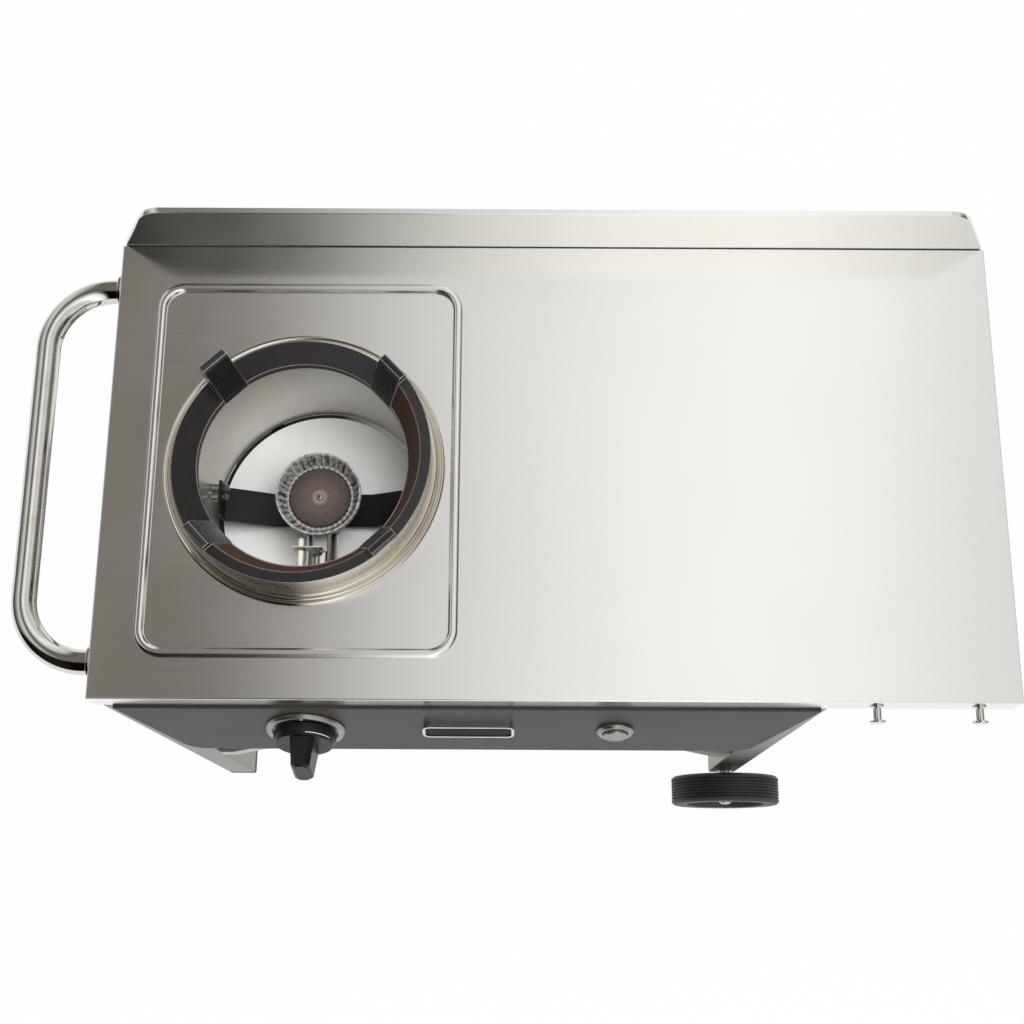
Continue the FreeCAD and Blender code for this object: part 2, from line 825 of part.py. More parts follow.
def build_burner():
    """Funnel-shaped cast head with flutes and a side boss, its serrated cap and the centre screw."""
    body = new_body("burner_head")
    cup_floor = "head_height - head_cup"
    rim_in = "head_r - head_wall"
    revolve(body, [
        ("0", "0"),
        ("head_neck_r", "0"),
        ("head_neck_r", "head_neck_height"),
        ("head_r", "head_height - head_rim"),
        ("head_r", "head_height"),
        (rim_in, "head_height"),
        ("cap_seat_r", cup_floor),
        ("0", cup_floor),
    ])
    sketch = sketch_on(body, "XZ_Plane")
    outline(sketch, [
        ("cap_r", cup_floor),
        ("cap_seat_r + flute_depth", cup_floor),
        (rim_in, "head_height"),
        ("cap_r", "head_height"),
    ])
    flute = grow(body, "Pocket", sketch, "flute_width", both_ways=True)
    ring_of(body, [flute], "flute_count")
    body.Placement = Placement(head_point(size("strap_below")), Rotation())
    boss = rod("head_boss", "tube_r", "head_boss_reach", tube_point("burner_v"), -ALONG)
    keep(fuse("burner_head", [body, boss]), "burner_head")

    body = new_body("burner_cap")
    revolve(body, [
        ("0", "0"),
        ("cap_r", "0"),
        ("cap_r", "cap_height - cap_edge"),
        ("cap_r - cap_edge", "cap_height"),
        ("0", "cap_height"),
    ])
    sketch = sketch_on(body, "XY_Plane")
    outline(sketch, [
        ("cap_r - cap_notch_depth", "0"),
        ("cap_r + cap_notch_depth", "-cap_notch_width"),
        ("cap_r + cap_notch_depth", "cap_notch_width"),
    ])
    notch = grow(body, "Pocket", sketch, "cap_height", turned=True)
    ring_of(body, [notch], "cap_notch_count")
    keep(body, "burner_cap", head_point(size("cap_below")))

    cap_top = head_point(size("cap_below") - size("cap_height"))
    keep(rod("cap_screw", "cap_screw_r", "cap_screw_height", cap_top), "cap_screw")


def build_tube():
    """Mixer tube from the burner to the front, with a slotted air shutter on its end."""
    back = tube_point("tube_back_v")
    outer = rod("tube_outside", "tube_r", "tube_back_v - tube_front_v", back, -ALONG)
    inner = rod("tube_bore", "tube_r - tube_wall", "tube_back_v - tube_front_v", back, -ALONG)
    keep(cut("burner_tube", outer, inner), "burner_tube")

    front = tube_point("tube_front_v")
    sleeve = rod("shutter_outside", "shutter_r", "shutter_length", front, ALONG)
    bore = rod("shutter_bore", "tube_r + seat_gap", "shutter_length", front, ALONG)
    slot_low = front + Vector(-size("shutter_r"), size("shutter_length") / 2, 0)
    slot_low = slot_low - Vector(0, size("shutter_slot_length") / 2, size("shutter_slot_width") / 2)
    slot = box("shutter_slot", "2 * shutter_r", "shutter_slot_length", "shutter_slot_width", slot_low)
    keep(cut("air_shutter", sleeve, fuse("shutter_cuts", [bore, slot])), "air_shutter")


def build_electrode():
    """Ceramic spark electrode beside the tube, held by an upright clip on the tube."""
    u = size("head_u") - size("electrode_side")
    v = size("burner_v") - size("electrode_ahead")
    low = Vector(u, v, size("clip_z") + size("electrode_lift"))
    ceramic = rod("electrode_ceramic", "electrode_r", "electrode_length", low, ALONG)
    tip = low + ALONG * size("electrode_length")
    wire = rod("electrode_tip", "electrode_wire_r", "electrode_wire", tip, ALONG)
    keep(fuse("electrode", [ceramic, wire]), "electrode")

    clip_v = size("burner_v") - size("clip_ahead")
    corner = Vector(u - size("electrode_r") - size("clip_edge"), clip_v, size("clip_z"))
    plate = box("clip_plate", "clip_plate_width", "clip_sheet", "clip_plate_height", corner)
    corner = Vector(size("head_u") - size("clip_width") / 2, clip_v, size("clip_z"))
    foot = box("clip_lying", "clip_width", "clip_foot", "clip_sheet", corner)
    hole = rod("clip_hole", "electrode_r + seat_gap", "electrode_length", low, ALONG)
    keep(cut("electrode_bracket", fuse("clip_bent", [plate, foot]), hole), "electrode_bracket")


# The tilted control panel and what is on it


def panel_point(across, down, out=0.0):
    """Point on the panel's face: across in u, down the face and out from it."""
    sine = size("tilt_sin")
    cosine = size("tilt_cos")
    v = size("panel_face_v") - down * sine - out * cosine
    return Vector(across, v, size("panel_top_z") - down * cosine + out * sine)


def panel_turn():
    """Rotation that stands a piece's Z axis square on the panel's face."""
    return Rotation(ACROSS, 90 - size("panel_tilt"))


def panel_axis():
    """Direction out of the panel's face."""
    return Vector(0, -size("tilt_cos"), size("tilt_sin"))


def build_panel():
    """Wedge-shaped folded panel with slanted ends, open behind, with two holes."""
    body = new_body("control_panel")
    sketch = sketch_on(body, "XZ_Plane")
    outline(sketch, [
        ("0", "0"),
        ("panel_taper", "-panel_drop"),
        ("panel_top_width - panel_taper", "-panel_drop"),
        ("panel_top_width", "0"),
    ])
    grow(body, "Pad", sketch, "panel_top_depth + panel_lean")
    low = -size("panel_drop")
    round_edges(body, "panel_corner_r",
                lambda edge: runs_along(edge, ALONG) and abs(edge.BoundBox.ZMin - low) < 1e-3)
    sketch = sketch_on(body, "YZ_Plane")
    outline(sketch, [
        ("-panel_top_depth", "0"),
        ("-panel_top_depth - panel_lean", "-panel_drop"),
        ("-panel_top_depth - 2 * panel_lean", "-panel_drop"),
        ("-panel_top_depth - 2 * panel_lean", "panel_lean"),
        ("-panel_top_depth", "panel_lean"),
    ])
    grow(body, "Pocket", sketch, None, turned=True)
    hollow(body, "panel_sheet", lambda face: face.BoundBox.YMin > -1e-3)
    place = Vector(size("panel_top_left"), size("panel_back_v"), size("panel_top_z"))
    body.Placement = Placement(place, Rotation())
    deep = size("valve_flange")
    holes = [
        rod("panel_valve_hole", "bezel_hole_r", "2 * valve_flange",
            panel_point(size("burner_u"), size("knob_down"), -deep), panel_axis()),
        rod("panel_igniter_hole", "igniter_neck_r + igniter_panel_gap", "2 * valve_flange",
            panel_point(size("igniter_u"), size("igniter_down"), -deep), panel_axis()),
    ]
    keep(cut("control_panel", body, fuse("panel_holes", holes)), "control_panel")


def build_badge():
    """Bare rounded plate with a raised rim."""
    body = new_body("badge_plate")
    sketch = sketch_on(body, "XY_Plane")
    rectangle(sketch, "-badge_width / 2", "-badge_height / 2", "badge_width / 2", "badge_height / 2")
    grow(body, "Pad", sketch, "badge_thick")
    round_edges(body, "badge_corner_r", lambda edge: runs_along(edge, UPRIGHT))
    sketch = sketch_on(body, "XY_Plane", "badge_thick")
    rectangle(sketch, "badge_rim - badge_width / 2", "badge_rim - badge_height / 2",
              "badge_width / 2 - badge_rim", "badge_height / 2 - badge_rim")
    grow(body, "Pocket", sketch, "badge_recess")
    inner = size("badge_width") / 2 - size("badge_rim")
    round_edges(body, "badge_corner_r - badge_rim",
                lambda edge: runs_along(edge, UPRIGHT) and abs(abs(edge.BoundBox.XMin) - inner) < 1e-3)
    keep(body, "badge_plate", panel_point(size("badge_u"), size("badge_down")), panel_turn())


def build_knob():
    """Dished bezel, bar-grip knob, stem and the spring cup that the stem turns in."""
    place = panel_point(size("burner_u"), size("knob_down"))
    body = new_body("knob_bezel")
    revolve(body, [
        ("bezel_hole_r", "0"),
        ("bezel_r", "0"),
        ("bezel_r", "bezel_height / 2"),
        ("bezel_r - bezel_height / 3", "bezel_height"),
        ("bezel_dish_r + bezel_height / 3", "bezel_height"),
        ("bezel_dish_r", "bezel_floor"),
        ("bezel_hole_r", "bezel_floor"),
    ])
    keep(body, "knob_bezel", place, panel_turn())

    body = new_body("control_knob")
    revolve(body, [
        ("0", "knob_lift"),
        ("knob_r", "knob_lift"),
        ("knob_r", "knob_lift + knob_skirt_height / 2"),
        ("knob_top_r", "knob_lift + knob_skirt_height"),
        ("0", "knob_lift + knob_skirt_height"),
    ])
    sketch = sketch_on(body, "XY_Plane", "knob_lift + knob_skirt_height")
    rectangle(sketch, "-grip_width / 2", "-grip_length / 2", "grip_width / 2", "grip_length / 2")
    grip = grow(body, "Pad", sketch, "grip_height")
    grip.setExpression("TaperAngle", rule("-atan((grip_width - grip_top_width) / 2 / grip_height)"))
    doc.recompute()
    grip_height = size("grip_height")
    bevel_edges(body, "grip_corner", lambda edge: edge.BoundBox.ZLength > grip_height - 1e-3)
    tip = size("knob_tip")
    bevel_edges(body, "grip_edge", lambda edge: is_level(edge, tip))
    sketch = sketch_on(body, "XY_Plane")
    circle(sketch, "stem_r + stem_fit")
    grow(body, "Pocket", sketch, "stem_out", turned=True)
    keep(body, "control_knob", place, panel_turn())

    body = new_body("valve_stem")
    revolve(body, [
        ("0", "-stem_in"),
        ("stem_r", "-stem_in"),
        ("stem_r", "-cup_depth"),
        ("stem_collar_r", "-cup_depth"),
        ("stem_collar_r", "stem_collar - cup_depth"),
        ("stem_r", "stem_collar - cup_depth"),
        ("stem_r", "stem_out - seat_gap"),
        ("0", "stem_out - seat_gap"),
    ])
    keep(body, "valve_stem", place, panel_turn())

    body = new_body("spring_cup")
    revolve(body, [
        ("stem_r + stem_fit", "-cup_bottom"),
        ("cup_r", "-cup_bottom"),
        ("cup_r", "-cup_depth - seat_gap"),
        ("stem_r + stem_fit", "-cup_depth - seat_gap"),
    ])
    keep(body, "spring_cup", place, panel_turn())


def build_valve():
    """Gas valve behind the panel with its nozzle, the gas pipe and the flare fitting."""
    place = panel_point(size("burner_u"), size("knob_down"))
    body = new_body("valve_body")
    revolve(body, [
        ("0", "-valve_length"),
        ("valve_r", "-valve_length"),
        ("valve_r", "-panel_sheet - valve_flange"),
        ("valve_flange_r", "-panel_sheet - valve_flange"),
        ("valve_flange_r", "-panel_sheet"),
        ("cup_r + valve_room_gap", "-panel_sheet"),
        ("cup_r + valve_room_gap", "-valve_room"),
        ("stem_r + valve_room_gap", "-valve_room"),
        ("stem_r + valve_room_gap", "-stem_room"),
        ("0", "-stem_room"),
    ])
    body.Placement = Placement(place, panel_turn())
    port = Vector(size("burner_u"), size("port_v"), size("port_z"))
    drop_low = tube_point("port_v") - UPRIGHT * size("drop_r")
    drop = rod("valve_drop", "drop_r", "port_z - tube_z + drop_r", drop_low)
    nozzle = rod("valve_nozzle", "nozzle_r", "tube_front_v + nozzle_in_tube - port_v",
                 tube_point("port_v"), ALONG)
    side = rod("valve_side", "valve_side_r", "valve_r + valve_flange", port, ACROSS)
    room = rod("valve_stem_room", "stem_r + valve_room_gap", "stem_room", place, panel_axis() * -1)
    outside = fuse("valve_outside", [body, drop, nozzle, side])
    keep(cut("valve_fitted", outside, room), "valve_body")

    start = port + ACROSS * (size("valve_r") + size("valve_flange"))
    keep(rod("gas_pipe", "gas_pipe_r", "gas_pipe_length", start, ACROSS), "gas_pipe")

    start = start + ACROSS * size("gas_pipe_length")
    nut = hexagon("inlet_nut", "inlet_hex_r", "inlet_hex", start, ACROSS)
    start = start + ACROSS * size("inlet_hex")
    thread = rod("inlet_thread_rod", "inlet_thread_r", "inlet_thread", start, ACROSS)
    start = start + ACROSS * size("inlet_thread")
    cone = doc.addObject("Part::Cone", "inlet_cone_tip")
    cone.setExpression("Radius1", rule("inlet_thread_r"))
    cone.setExpression("Radius2", rule("inlet_tip_r"))
    cone.setExpression("Height", rule("inlet_cone"))
    cone.Placement = Placement(start, Rotation(UPRIGHT, ACROSS))
    keep(fuse("gas_inlet", [nut, thread, cone]), "gas_inlet")


def build_igniter():
    """Ring bezel with a neck through the panel, the push button and the spark module."""
    place = panel_point(size("igniter_u"), size("igniter_down"))
    body = new_body("igniter_bezel")
    revolve(body, [
        ("button_r + button_gap", "-igniter_neck"),
        ("igniter_neck_r", "-igniter_neck"),
        ("igniter_neck_r", "0"),
        ("igniter_ring_r", "0"),
        ("igniter_ring_r", "igniter_ring / 2"),
        ("igniter_ring_r - igniter_ring / 2", "igniter_ring"),
        ("button_r + button_gap", "igniter_ring"),
    ])
    keep(body, "igniter_bezel", place, panel_turn())

    body = new_body("igniter_button")
    revolve(body, [
        ("0", "-button_in - button_stem"),
        ("button_stem_r", "-button_in - button_stem"),
        ("button_stem_r", "-button_in"),
        ("button_r", "-button_in"),
        ("button_r", "button_out - button_edge"),
        ("button_r - button_edge", "button_out"),
        ("0", "button_out"),
    ])
    keep(body, "igniter_button", place, panel_turn())

    body = new_body("igniter_module")
    revolve(body, [
        ("0", "-igniter_neck - module_length"),
        ("igniter_neck_r", "-igniter_neck - module_length"),
        ("igniter_neck_r", "-igniter_neck"),
        ("button_stem_r + stem_fit", "-igniter_neck"),
        ("button_stem_r + stem_fit", "-igniter_neck - module_bore"),
        ("0", "-igniter_neck - module_bore"),
    ])
    keep(body, "igniter_module", place, panel_turn())


# Legs, rails, shelf and feet


def build_leg(label, u, v, low, has_axle):
    """Square tube leg up to the underside of the top."""
    body = new_body(label)
    sketch = sketch_on(body, "XY_Plane")
    rectangle(sketch, "0", "0", "leg_side", "leg_side")
    grow(body, "Pad", sketch, f"under_top - {low}")
    round_edges(body, "leg_corner_r", lambda edge: runs_along(edge, UPRIGHT))
    hollow(body, "leg_wall", lambda face: face.BoundBox.ZLength < 1e-3)
    body.Placement = Placement(Vector(u, v, size(low)), Rotation())
    if not has_axle:
        keep(body, label)
        return
    base = Vector(size("axle_u"), v, size("wheel_r"))
    hole = rod(f"{label}_axle_hole", "axle_r + axle_leg_gap", "leg_side", base, ALONG)
    keep(cut(label, body, hole), label)


def build_foot(label, u, v):
    """Plastic foot under a leg with a round plug inside the tube."""
    body = new_body(label)
    sketch = sketch_on(body, "XY_Plane")
    rectangle(sketch, "0", "0", "leg_side", "leg_side")
    grow(body, "Pad", sketch, "foot_height")
    round_edges(body, "leg_corner_r", lambda edge: runs_along(edge, UPRIGHT))
    sketch = sketch_on(body, "XY_Plane", "foot_height")
    circle(sketch, "leg_side / 2 - leg_wall - foot_fit", "leg_side / 2", "leg_side / 2")
    grow(body, "Pad", sketch, "foot_plug")
    keep(body, label, Vector(u, v, 0))


def build_rail(label, length, width, base, along_u):
    """Rectangular tube rail under the top, open at its ends."""
    sides = (length, width) if along_u else (width, length)
    outer = box(f"{label}_outside", sides[0], sides[1], "rail_height", base)
    wall = size("leg_wall")
    low = base + Vector(0 if along_u else wall, wall if along_u else 0, wall)
    thin = f"{width} - 2 * leg_wall"
    sides = (length, thin) if along_u else (thin, length)
    inner = box(f"{label}_inside", sides[0], sides[1], "rail_height - 2 * leg_wall", low)
    keep(cut(label, outer, inner), label)


def build_base():
    """Four legs, two feet, four rails and the lower shelf."""
    near = size("leg_near")
    right_u = size("leg_right_u")
    rear_v = size("leg_far_v")
    build_leg("front_left_leg", near, near, "foot_height", False)
    build_leg("rear_left_leg", near, rear_v, "foot_height", False)
    build_leg("front_right_leg", right_u, near, "right_leg_lift", True)
    build_leg("rear_right_leg", right_u, rear_v, "right_leg_lift", True)
    build_foot("front_left_foot", near, near)
    build_foot("rear_left_foot", near, rear_v)

    side = size("leg_side")
    width = size("rail_width")
    rail_z = size("under_top") - size("rail_height")
    across = "leg_right_u - leg_near - leg_side"
    back = "leg_far_v - leg_near - leg_side"
    build_rail("front_rail", across, "rail_width", Vector(near + side, near, rail_z), True)
    build_rail("rear_rail", across, "rail_width", Vector(near + side, rear_v + side - width, rail_z), True)
    build_rail("left_rail", back, "rail_width", Vector(near, near + side, rail_z), False)
    build_rail("right_rail", back, "rail_width", Vector(right_u + side - width, near + side, rail_z), False)

    body = new_body("lower_shelf")
    sketch = sketch_on(body, "XY_Plane")
    slope_end = "shelf_shoulder + shelf_slope"
    full_depth = "top_depth - 2 * leg_near"
    outline(sketch, [
        ("0", "0"),
        ("shelf_shoulder", "0"),
        (slope_end, "shelf_cut_back"),
        (f"{across} - ({slope_end})", "shelf_cut_back"),
        (f"{across} - shelf_shoulder", "0"),
        (across, "0"),
        (across, full_depth),
        ("0", full_depth),
    ])
    grow(body, "Pad", sketch, "shelf_edge")
    hollow(body, "shelf_sheet", lambda face: face.BoundBox.ZMax < 1e-3)
    sketch = sketch_on(body, "XY_Plane")
    circle(sketch, "tank_hole_r", "tank_hole_u - leg_near - leg_side", "tank_hole_v - leg_near")
    grow(body, "Pocket", sketch, None, turned=True)
    keep(body, "lower_shelf", Vector(near + side, near, size("shelf_height") - size("shelf_edge")))


# Side handle and tool pegs


def handle_run(name, radius):
    """Bent round bar of the handle's route: two stubs, two bends and the long bar."""
    bend = size("handle_bend_r")
    stub_u = size("handle_reach") - size("handle_tube_r") - bend
    level = size("top_height") - size("handle_below")
    stub = "handle_reach - handle_tube_r - handle_bend_r"
    solids = []
    for v in (size("handle_front"), size("handle_back")):
        solids.append(rod(f"{name}_stub_{len(solids)}", radius, stub, Vector(0, v, level), -ACROSS))
    corners = ((size("handle_front") + bend, 180), (size("handle_back") - bend, 90))
    for v, turn in corners:
        elbow = doc.addObject("Part::Torus", f"{name}_elbow_{len(solids)}")
        elbow.setExpression("Radius1", rule("handle_bend_r"))
        elbow.setExpression("Radius2", rule(radius))
        elbow.Angle3 = 90
        elbow.Placement = Placement(Vector(-stub_u, v, level), Rotation(UPRIGHT, turn))
        solids.append(elbow)
    start = Vector(-stub_u - bend, size("handle_front") + bend, level)
    bar_length = "handle_back - handle_front - 2 * handle_bend_r"
    solids.append(rod(f"{name}_bar", radius, bar_length, start, ALONG))
    return fuse(f"{name}_run", solids)


def build_handle():
    """Chromed tube handle and the two flanges on the left skirt."""
    outside = handle_run("handle_outside", "handle_tube_r")
    inside = handle_run("handle_inside", "handle_tube_r - handle_wall")
    keep(cut("side_handle", outside, inside), "side_handle")
    level = size("top_height") - size("handle_below")
    for end in ("front", "back"):
        base = Vector(0, size(f"handle_{end}"), level)
        disc = rod(f"flange_disc_{end}", "flange_r", "flange_thick", base, -ACROSS)
        bore = rod(f"flange_bore_{end}", "handle_tube_r + flange_fit", "flange_thick", base, -ACROSS)
        keep(cut(f"handle_flange_{end}", disc, bore), f"handle_flange_{end}")


def build_pegs():
    """Headed pegs on the front skirt of the overhang."""
    for index, side in enumerate(("left", "right")):
        body = new_body(f"tool_peg_{side}")
        revolve(body, [
            ("0", "0"),
            ("peg_foot_r", "0"),
            ("peg_foot_r", "peg_foot"),
            ("peg_r", "peg_foot"),
            ("peg_r", "peg_length"),
            ("peg_head_r", "peg_length"),
            ("peg_head_r", "peg_length + peg_head"),
            ("0", "peg_length + peg_head"),
        ])
        u = size("top_width") - size("peg_right_margin") - (1 - index) * size("peg_pitch")
        place = Vector(u, 0, size("top_height") - size("peg_below"))
        keep(body, f"tool_peg_{side}", place, Rotation(UPRIGHT, -ALONG))


# Wheels and axle


def tyre_corners():
    """Half outline of the tyre with evenly spaced grooves round its tread."""
    corners = [
        ("tyre_inner_r", "0"),
        ("wheel_r - tyre_edge", "0"),
        ("wheel_r", "tyre_edge"),
    ]
    count = int(size("groove_count"))
    for index in range(1, count + 1):
        middle = f"tyre_edge + (wheel_width - 2 * tyre_edge) * {index} / (groove_count + 1)"
        corners.append(("wheel_r", f"{middle} - groove_width / 2"))
        corners.append(("wheel_r - groove_depth", middle))
        corners.append(("wheel_r", f"{middle} + groove_width / 2"))
    corners.append(("wheel_r", "wheel_width - tyre_edge"))
    corners.append(("wheel_r - tyre_edge", "wheel_width"))
    corners.append(("tyre_inner_r", "wheel_width"))
    return corners


def build_wheel(end, v, facing):
    """Hub with round cut-outs and a sunk boss, and a grooved tyre; its outer face is at v."""
    place = Vector(size("axle_u"), v, size("wheel_r"))
    turn = Rotation(UPRIGHT, facing)
    body = new_body(f"{end}_hub")
    inner_rim = "hub_r - hub_rim"
    web_back = "hub_web_at + hub_web"
    revolve(body, [
        ("axle_r + axle_fit", "hub_recess"),
        ("hub_boss_r", "hub_recess"),
        ("hub_boss_r", "hub_web_at"),
        (inner_rim, "hub_web_at"),
        (inner_rim, "0"),
        ("hub_r", "0"),
        ("hub_r", "wheel_width"),
        (inner_rim, "wheel_width"),
        (inner_rim, web_back),
        ("hub_boss_r", web_back),
        ("hub_boss_r", "wheel_width"),
        ("axle_r + axle_fit", "wheel_width"),
    ])
    sketch = sketch_on(body, "XY_Plane")
    circle(sketch, "hub_slot_r", "(hub_boss_r + hub_r - hub_rim) / 2")
    slot = grow(body, "Pocket", sketch, None, turned=True)
    ring_of(body, [slot], "hub_slot_count")
    keep(body, f"{end}_hub", place, turn)

    body = new_body(f"{end}_tyre")
    revolve(body, tyre_corners())
    keep(body, f"{end}_tyre", place, turn)


def build_wheels():
    """Axle through the right legs with a wheel, a spacer and a cap nut at each end."""
    axis = Vector(size("axle_u"), 0, size("wheel_r"))
    front = size("axle_front_v")
    rear = size("axle_rear_v")
    keep(rod("axle", "axle_r", "axle_rear_v - axle_front_v", axis + ALONG * front, ALONG), "axle")
    build_wheel("front", size("wheel_in_front_v") - size("wheel_width"), ALONG)
    build_wheel("rear", size("wheel_in_rear_v") + size("wheel_width"), -ALONG)
    ends = {
        "front": (size("leg_near"), front, -ALONG),
        "rear": (size("leg_far_v") + size("leg_side"), rear, ALONG),
    }
    for end, (leg_face, tip, outward) in ends.items():
        base = axis + ALONG * leg_face
        sleeve = rod(f"spacer_out_{end}", "spacer_r", "wheel_gap - wheel_play", base, outward)
        bore = rod(f"spacer_bore_{end}", "axle_r + axle_leg_gap", "wheel_gap", base, outward)
        keep(cut(f"axle_spacer_{end}", sleeve, bore), f"axle_spacer_{end}")
        keep(rod(f"axle_cap_{end}", "cap_nut_r", "cap_nut", axis + ALONG * tip, outward), f"axle_cap_{end}")


# Checks, centring and writing


def check_document():
    """Stop if any object failed or any piece has no valid solid."""
    for part in doc.Objects:
        if "Invalid" in part.State or "Error" in part.State:
            raise RuntimeError(f"{part.Name} failed: {part.State}")
    for label, piece in pieces.items():
        if piece.Shape.isNull() or not piece.Shape.isValid() or not piece.Shape.Solids:
            raise RuntimeError(f"{label} has no valid solid")


def centre_part():
    """Move every piece so that the origin is the middle of the footprint, on the floor."""
    whole = FreeCAD.BoundBox()
    for piece in pieces.values():
        whole.add(piece.Shape.optimalBoundingBox(False))
    shift = Vector(-whole.Center.x, -whole.Center.y, -whole.ZMin)
    for piece in pieces.values():
        placed = piece.Placement
        piece.Placement = Placement(placed.Base + shift, placed.Rotation)
    print(f"size {whole.XLength:.2f} x {whole.YLength:.2f} x {whole.ZLength:.2f}")
    print(f"shift {shift.x:.3f} {shift.y:.3f} {shift.z:.3f}")


def write_steps():
    """Write one STEP file for each piece."""
    os.makedirs("parts", exist_ok=True)
    for label, piece in pieces.items():
        piece.Shape.exportStep(f"parts/{label}.step")
    print(f"{len(pieces)} pieces written")


def main():
    """Build every piece, check it, centre the part and write it."""
    fill_sheet()
    build_top()
    build_splash()
    build_collar()
    build_wok_ring()
    build_bowl()
    build_pan()
    build_strap()
    build_burner()
    build_tube()
    build_electrode()
    build_panel()
    build_badge()
    build_knob()
    build_valve()
    build_igniter()
    build_base()
    build_handle()
    build_pegs()
    build_wheels()
    doc.recompute()
    check_document()
    centre_part()
    write_steps()


main()
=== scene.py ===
"""Looks of the outdoor wok station: its finishes, its fine pieces, the studio and the camera."""
import logging
import math
from collections.abc import Iterable, Sequence
from dataclasses import dataclass
from enum import Enum

import bmesh
import bpy
from mathutils import Matrix, Vector


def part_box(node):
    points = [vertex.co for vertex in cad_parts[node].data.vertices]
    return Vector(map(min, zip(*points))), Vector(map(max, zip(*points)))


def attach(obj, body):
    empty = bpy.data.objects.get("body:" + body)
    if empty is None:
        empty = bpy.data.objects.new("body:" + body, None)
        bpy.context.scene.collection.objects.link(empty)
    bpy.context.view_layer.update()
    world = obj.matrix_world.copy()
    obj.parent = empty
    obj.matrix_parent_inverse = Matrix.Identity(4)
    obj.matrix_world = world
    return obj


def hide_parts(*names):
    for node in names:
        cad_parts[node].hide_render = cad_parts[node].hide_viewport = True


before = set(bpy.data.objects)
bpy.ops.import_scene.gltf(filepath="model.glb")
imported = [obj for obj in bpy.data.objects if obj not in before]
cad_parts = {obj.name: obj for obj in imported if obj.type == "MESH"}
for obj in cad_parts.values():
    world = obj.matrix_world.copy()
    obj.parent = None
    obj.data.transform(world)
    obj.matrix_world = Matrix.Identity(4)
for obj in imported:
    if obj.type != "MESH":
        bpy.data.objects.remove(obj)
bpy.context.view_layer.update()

Colour = tuple[float, float, float, float]
Point = tuple[float, float, float]
Span = tuple[float, float]
Corners = Sequence[Span]
Shape = bmesh.types.BMesh
Tree = bpy.types.NodeTree
Node = bpy.types.Node
Socket = bpy.types.NodeSocket
Inputs = dict | Sequence

LOG = logging.getLogger("wok_station")
MM = 0.001
SIDES = ("left", "right")
ENDS = ("front", "rear")
# Faces whose normal lies this close to an axis are square to it
SQUARE = 0.99999
# Lengths that differ by less than this are the same
TOUCH = 0.01 * MM
# Points closer than this are one point, on a turned shape and on a copied solid
MERGE = 0.001 * MM
COPY_MERGE = 0.002 * MM
# Faces that turn less than this lie in one plane
FLAT = math.radians(0.5)
# Rounding of edges and corners that every bevel shares
ROUND = {"offset_type": "OFFSET", "profile": 0.5, "material": -1, "clamp_overlap": True}
# Where most of a noise texture's values lie
NOISE = (0.3, 0.7)
# The Mix node's inputs for two colours, and its settings to mix or to multiply them
FIRST, SECOND = 6, 7
MIXED = {"data_type": "RGBA"}
SHADED = {"data_type": "RGBA", "blend_type": "MULTIPLY"}
WHITE: Colour = (1.0, 1.0, 1.0, 1.0)


class Axis(Enum):
    """The row's three directions, as the index of a coordinate."""

    X = 0
    Y = 1
    Z = 2

    def unit(self) -> Vector:
        """The unit vector along this axis."""
        return Vector([1.0 if index == self.value else 0.0 for index in range(3)])


RIGHT = Axis.X.unit()
BACK = Axis.Y.unit()
UP = Axis.Z.unit()


def middle(node: str) -> Vector:
    """The middle of a solid's box."""
    low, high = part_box(node)
    return (low + high) / 2


BURNER_AT: Point = tuple(middle("burner_collar"))
HEAD_AT: Point = tuple(middle("burner_cap"))


def linear(hex_code: str) -> Colour:
    """Turn an sRGB hex colour into linear light.

    Args:
        hex_code: Six hex digits after a hash sign.

    Returns:
        Red, green and blue, linear, and full opacity.
    """
    shares = [int(hex_code[start:start + 2], 16) / 255 for start in (1, 3, 5)]
    light = [share / 12.92 if share <= 0.04045 else ((share + 0.055) / 1.055) ** 2.4 for share in shares]
    return (light[0], light[1], light[2], 1.0)


def add(tree: Tree, kind: str, inputs: Inputs = (), **settings) -> Node:
    """Add a shader node with its settings, and fill or link its inputs.

    Args:
        tree: Node tree that gets the node.
        kind: Type of the node, without its ShaderNode prefix.
        inputs: Values, sockets or nodes, whose first live output is linked, by input name or index, or in
            the order of the inputs.
        settings: Properties of the node.

    Returns:
        The new node.
    """
    node = tree.nodes.new(f"ShaderNode{kind}")
    for name, value in settings.items():
        setattr(node, name, value)
    pairs = inputs.items() if isinstance(inputs, dict) else enumerate(inputs)
    for key, value in pairs:
        if isinstance(value, Node):
            value = next(output for output in value.outputs if output.enabled)
        if isinstance(value, Socket):
            tree.links.new(value, node.inputs[key])
        else:
            node.inputs[key].default_value = value
    return node


def about(tree: Tree, where: Socket, centre: Point) -> tuple[Node, Node, Node]:
    """Measure places from an upright axis.

    Args:
        tree: Node tree that gets the nodes.
        where: Place on the piece.
        centre: Point on the axis.

    Returns:
        Nodes for the place seen from the centre, for its level part and for its distance from the axis.
    """
    local = add(tree, "VectorMath", (where, centre), operation="SUBTRACT")
    flat = add(tree, "VectorMath", (local, (1, 1, 0)), operation="MULTIPLY")
    reach = add(tree, "VectorMath", (flat,), operation="LENGTH")
    return local, flat, reach


def repeats(size_mm: float) -> float:
    """The scale at which a pattern has this size."""
    return 1 / (size_mm * MM)


def around(value: float, spread: Span) -> Span:
    """The span that a value varies over."""
    return (value + spread[0], value + spread[1])


# Finishes


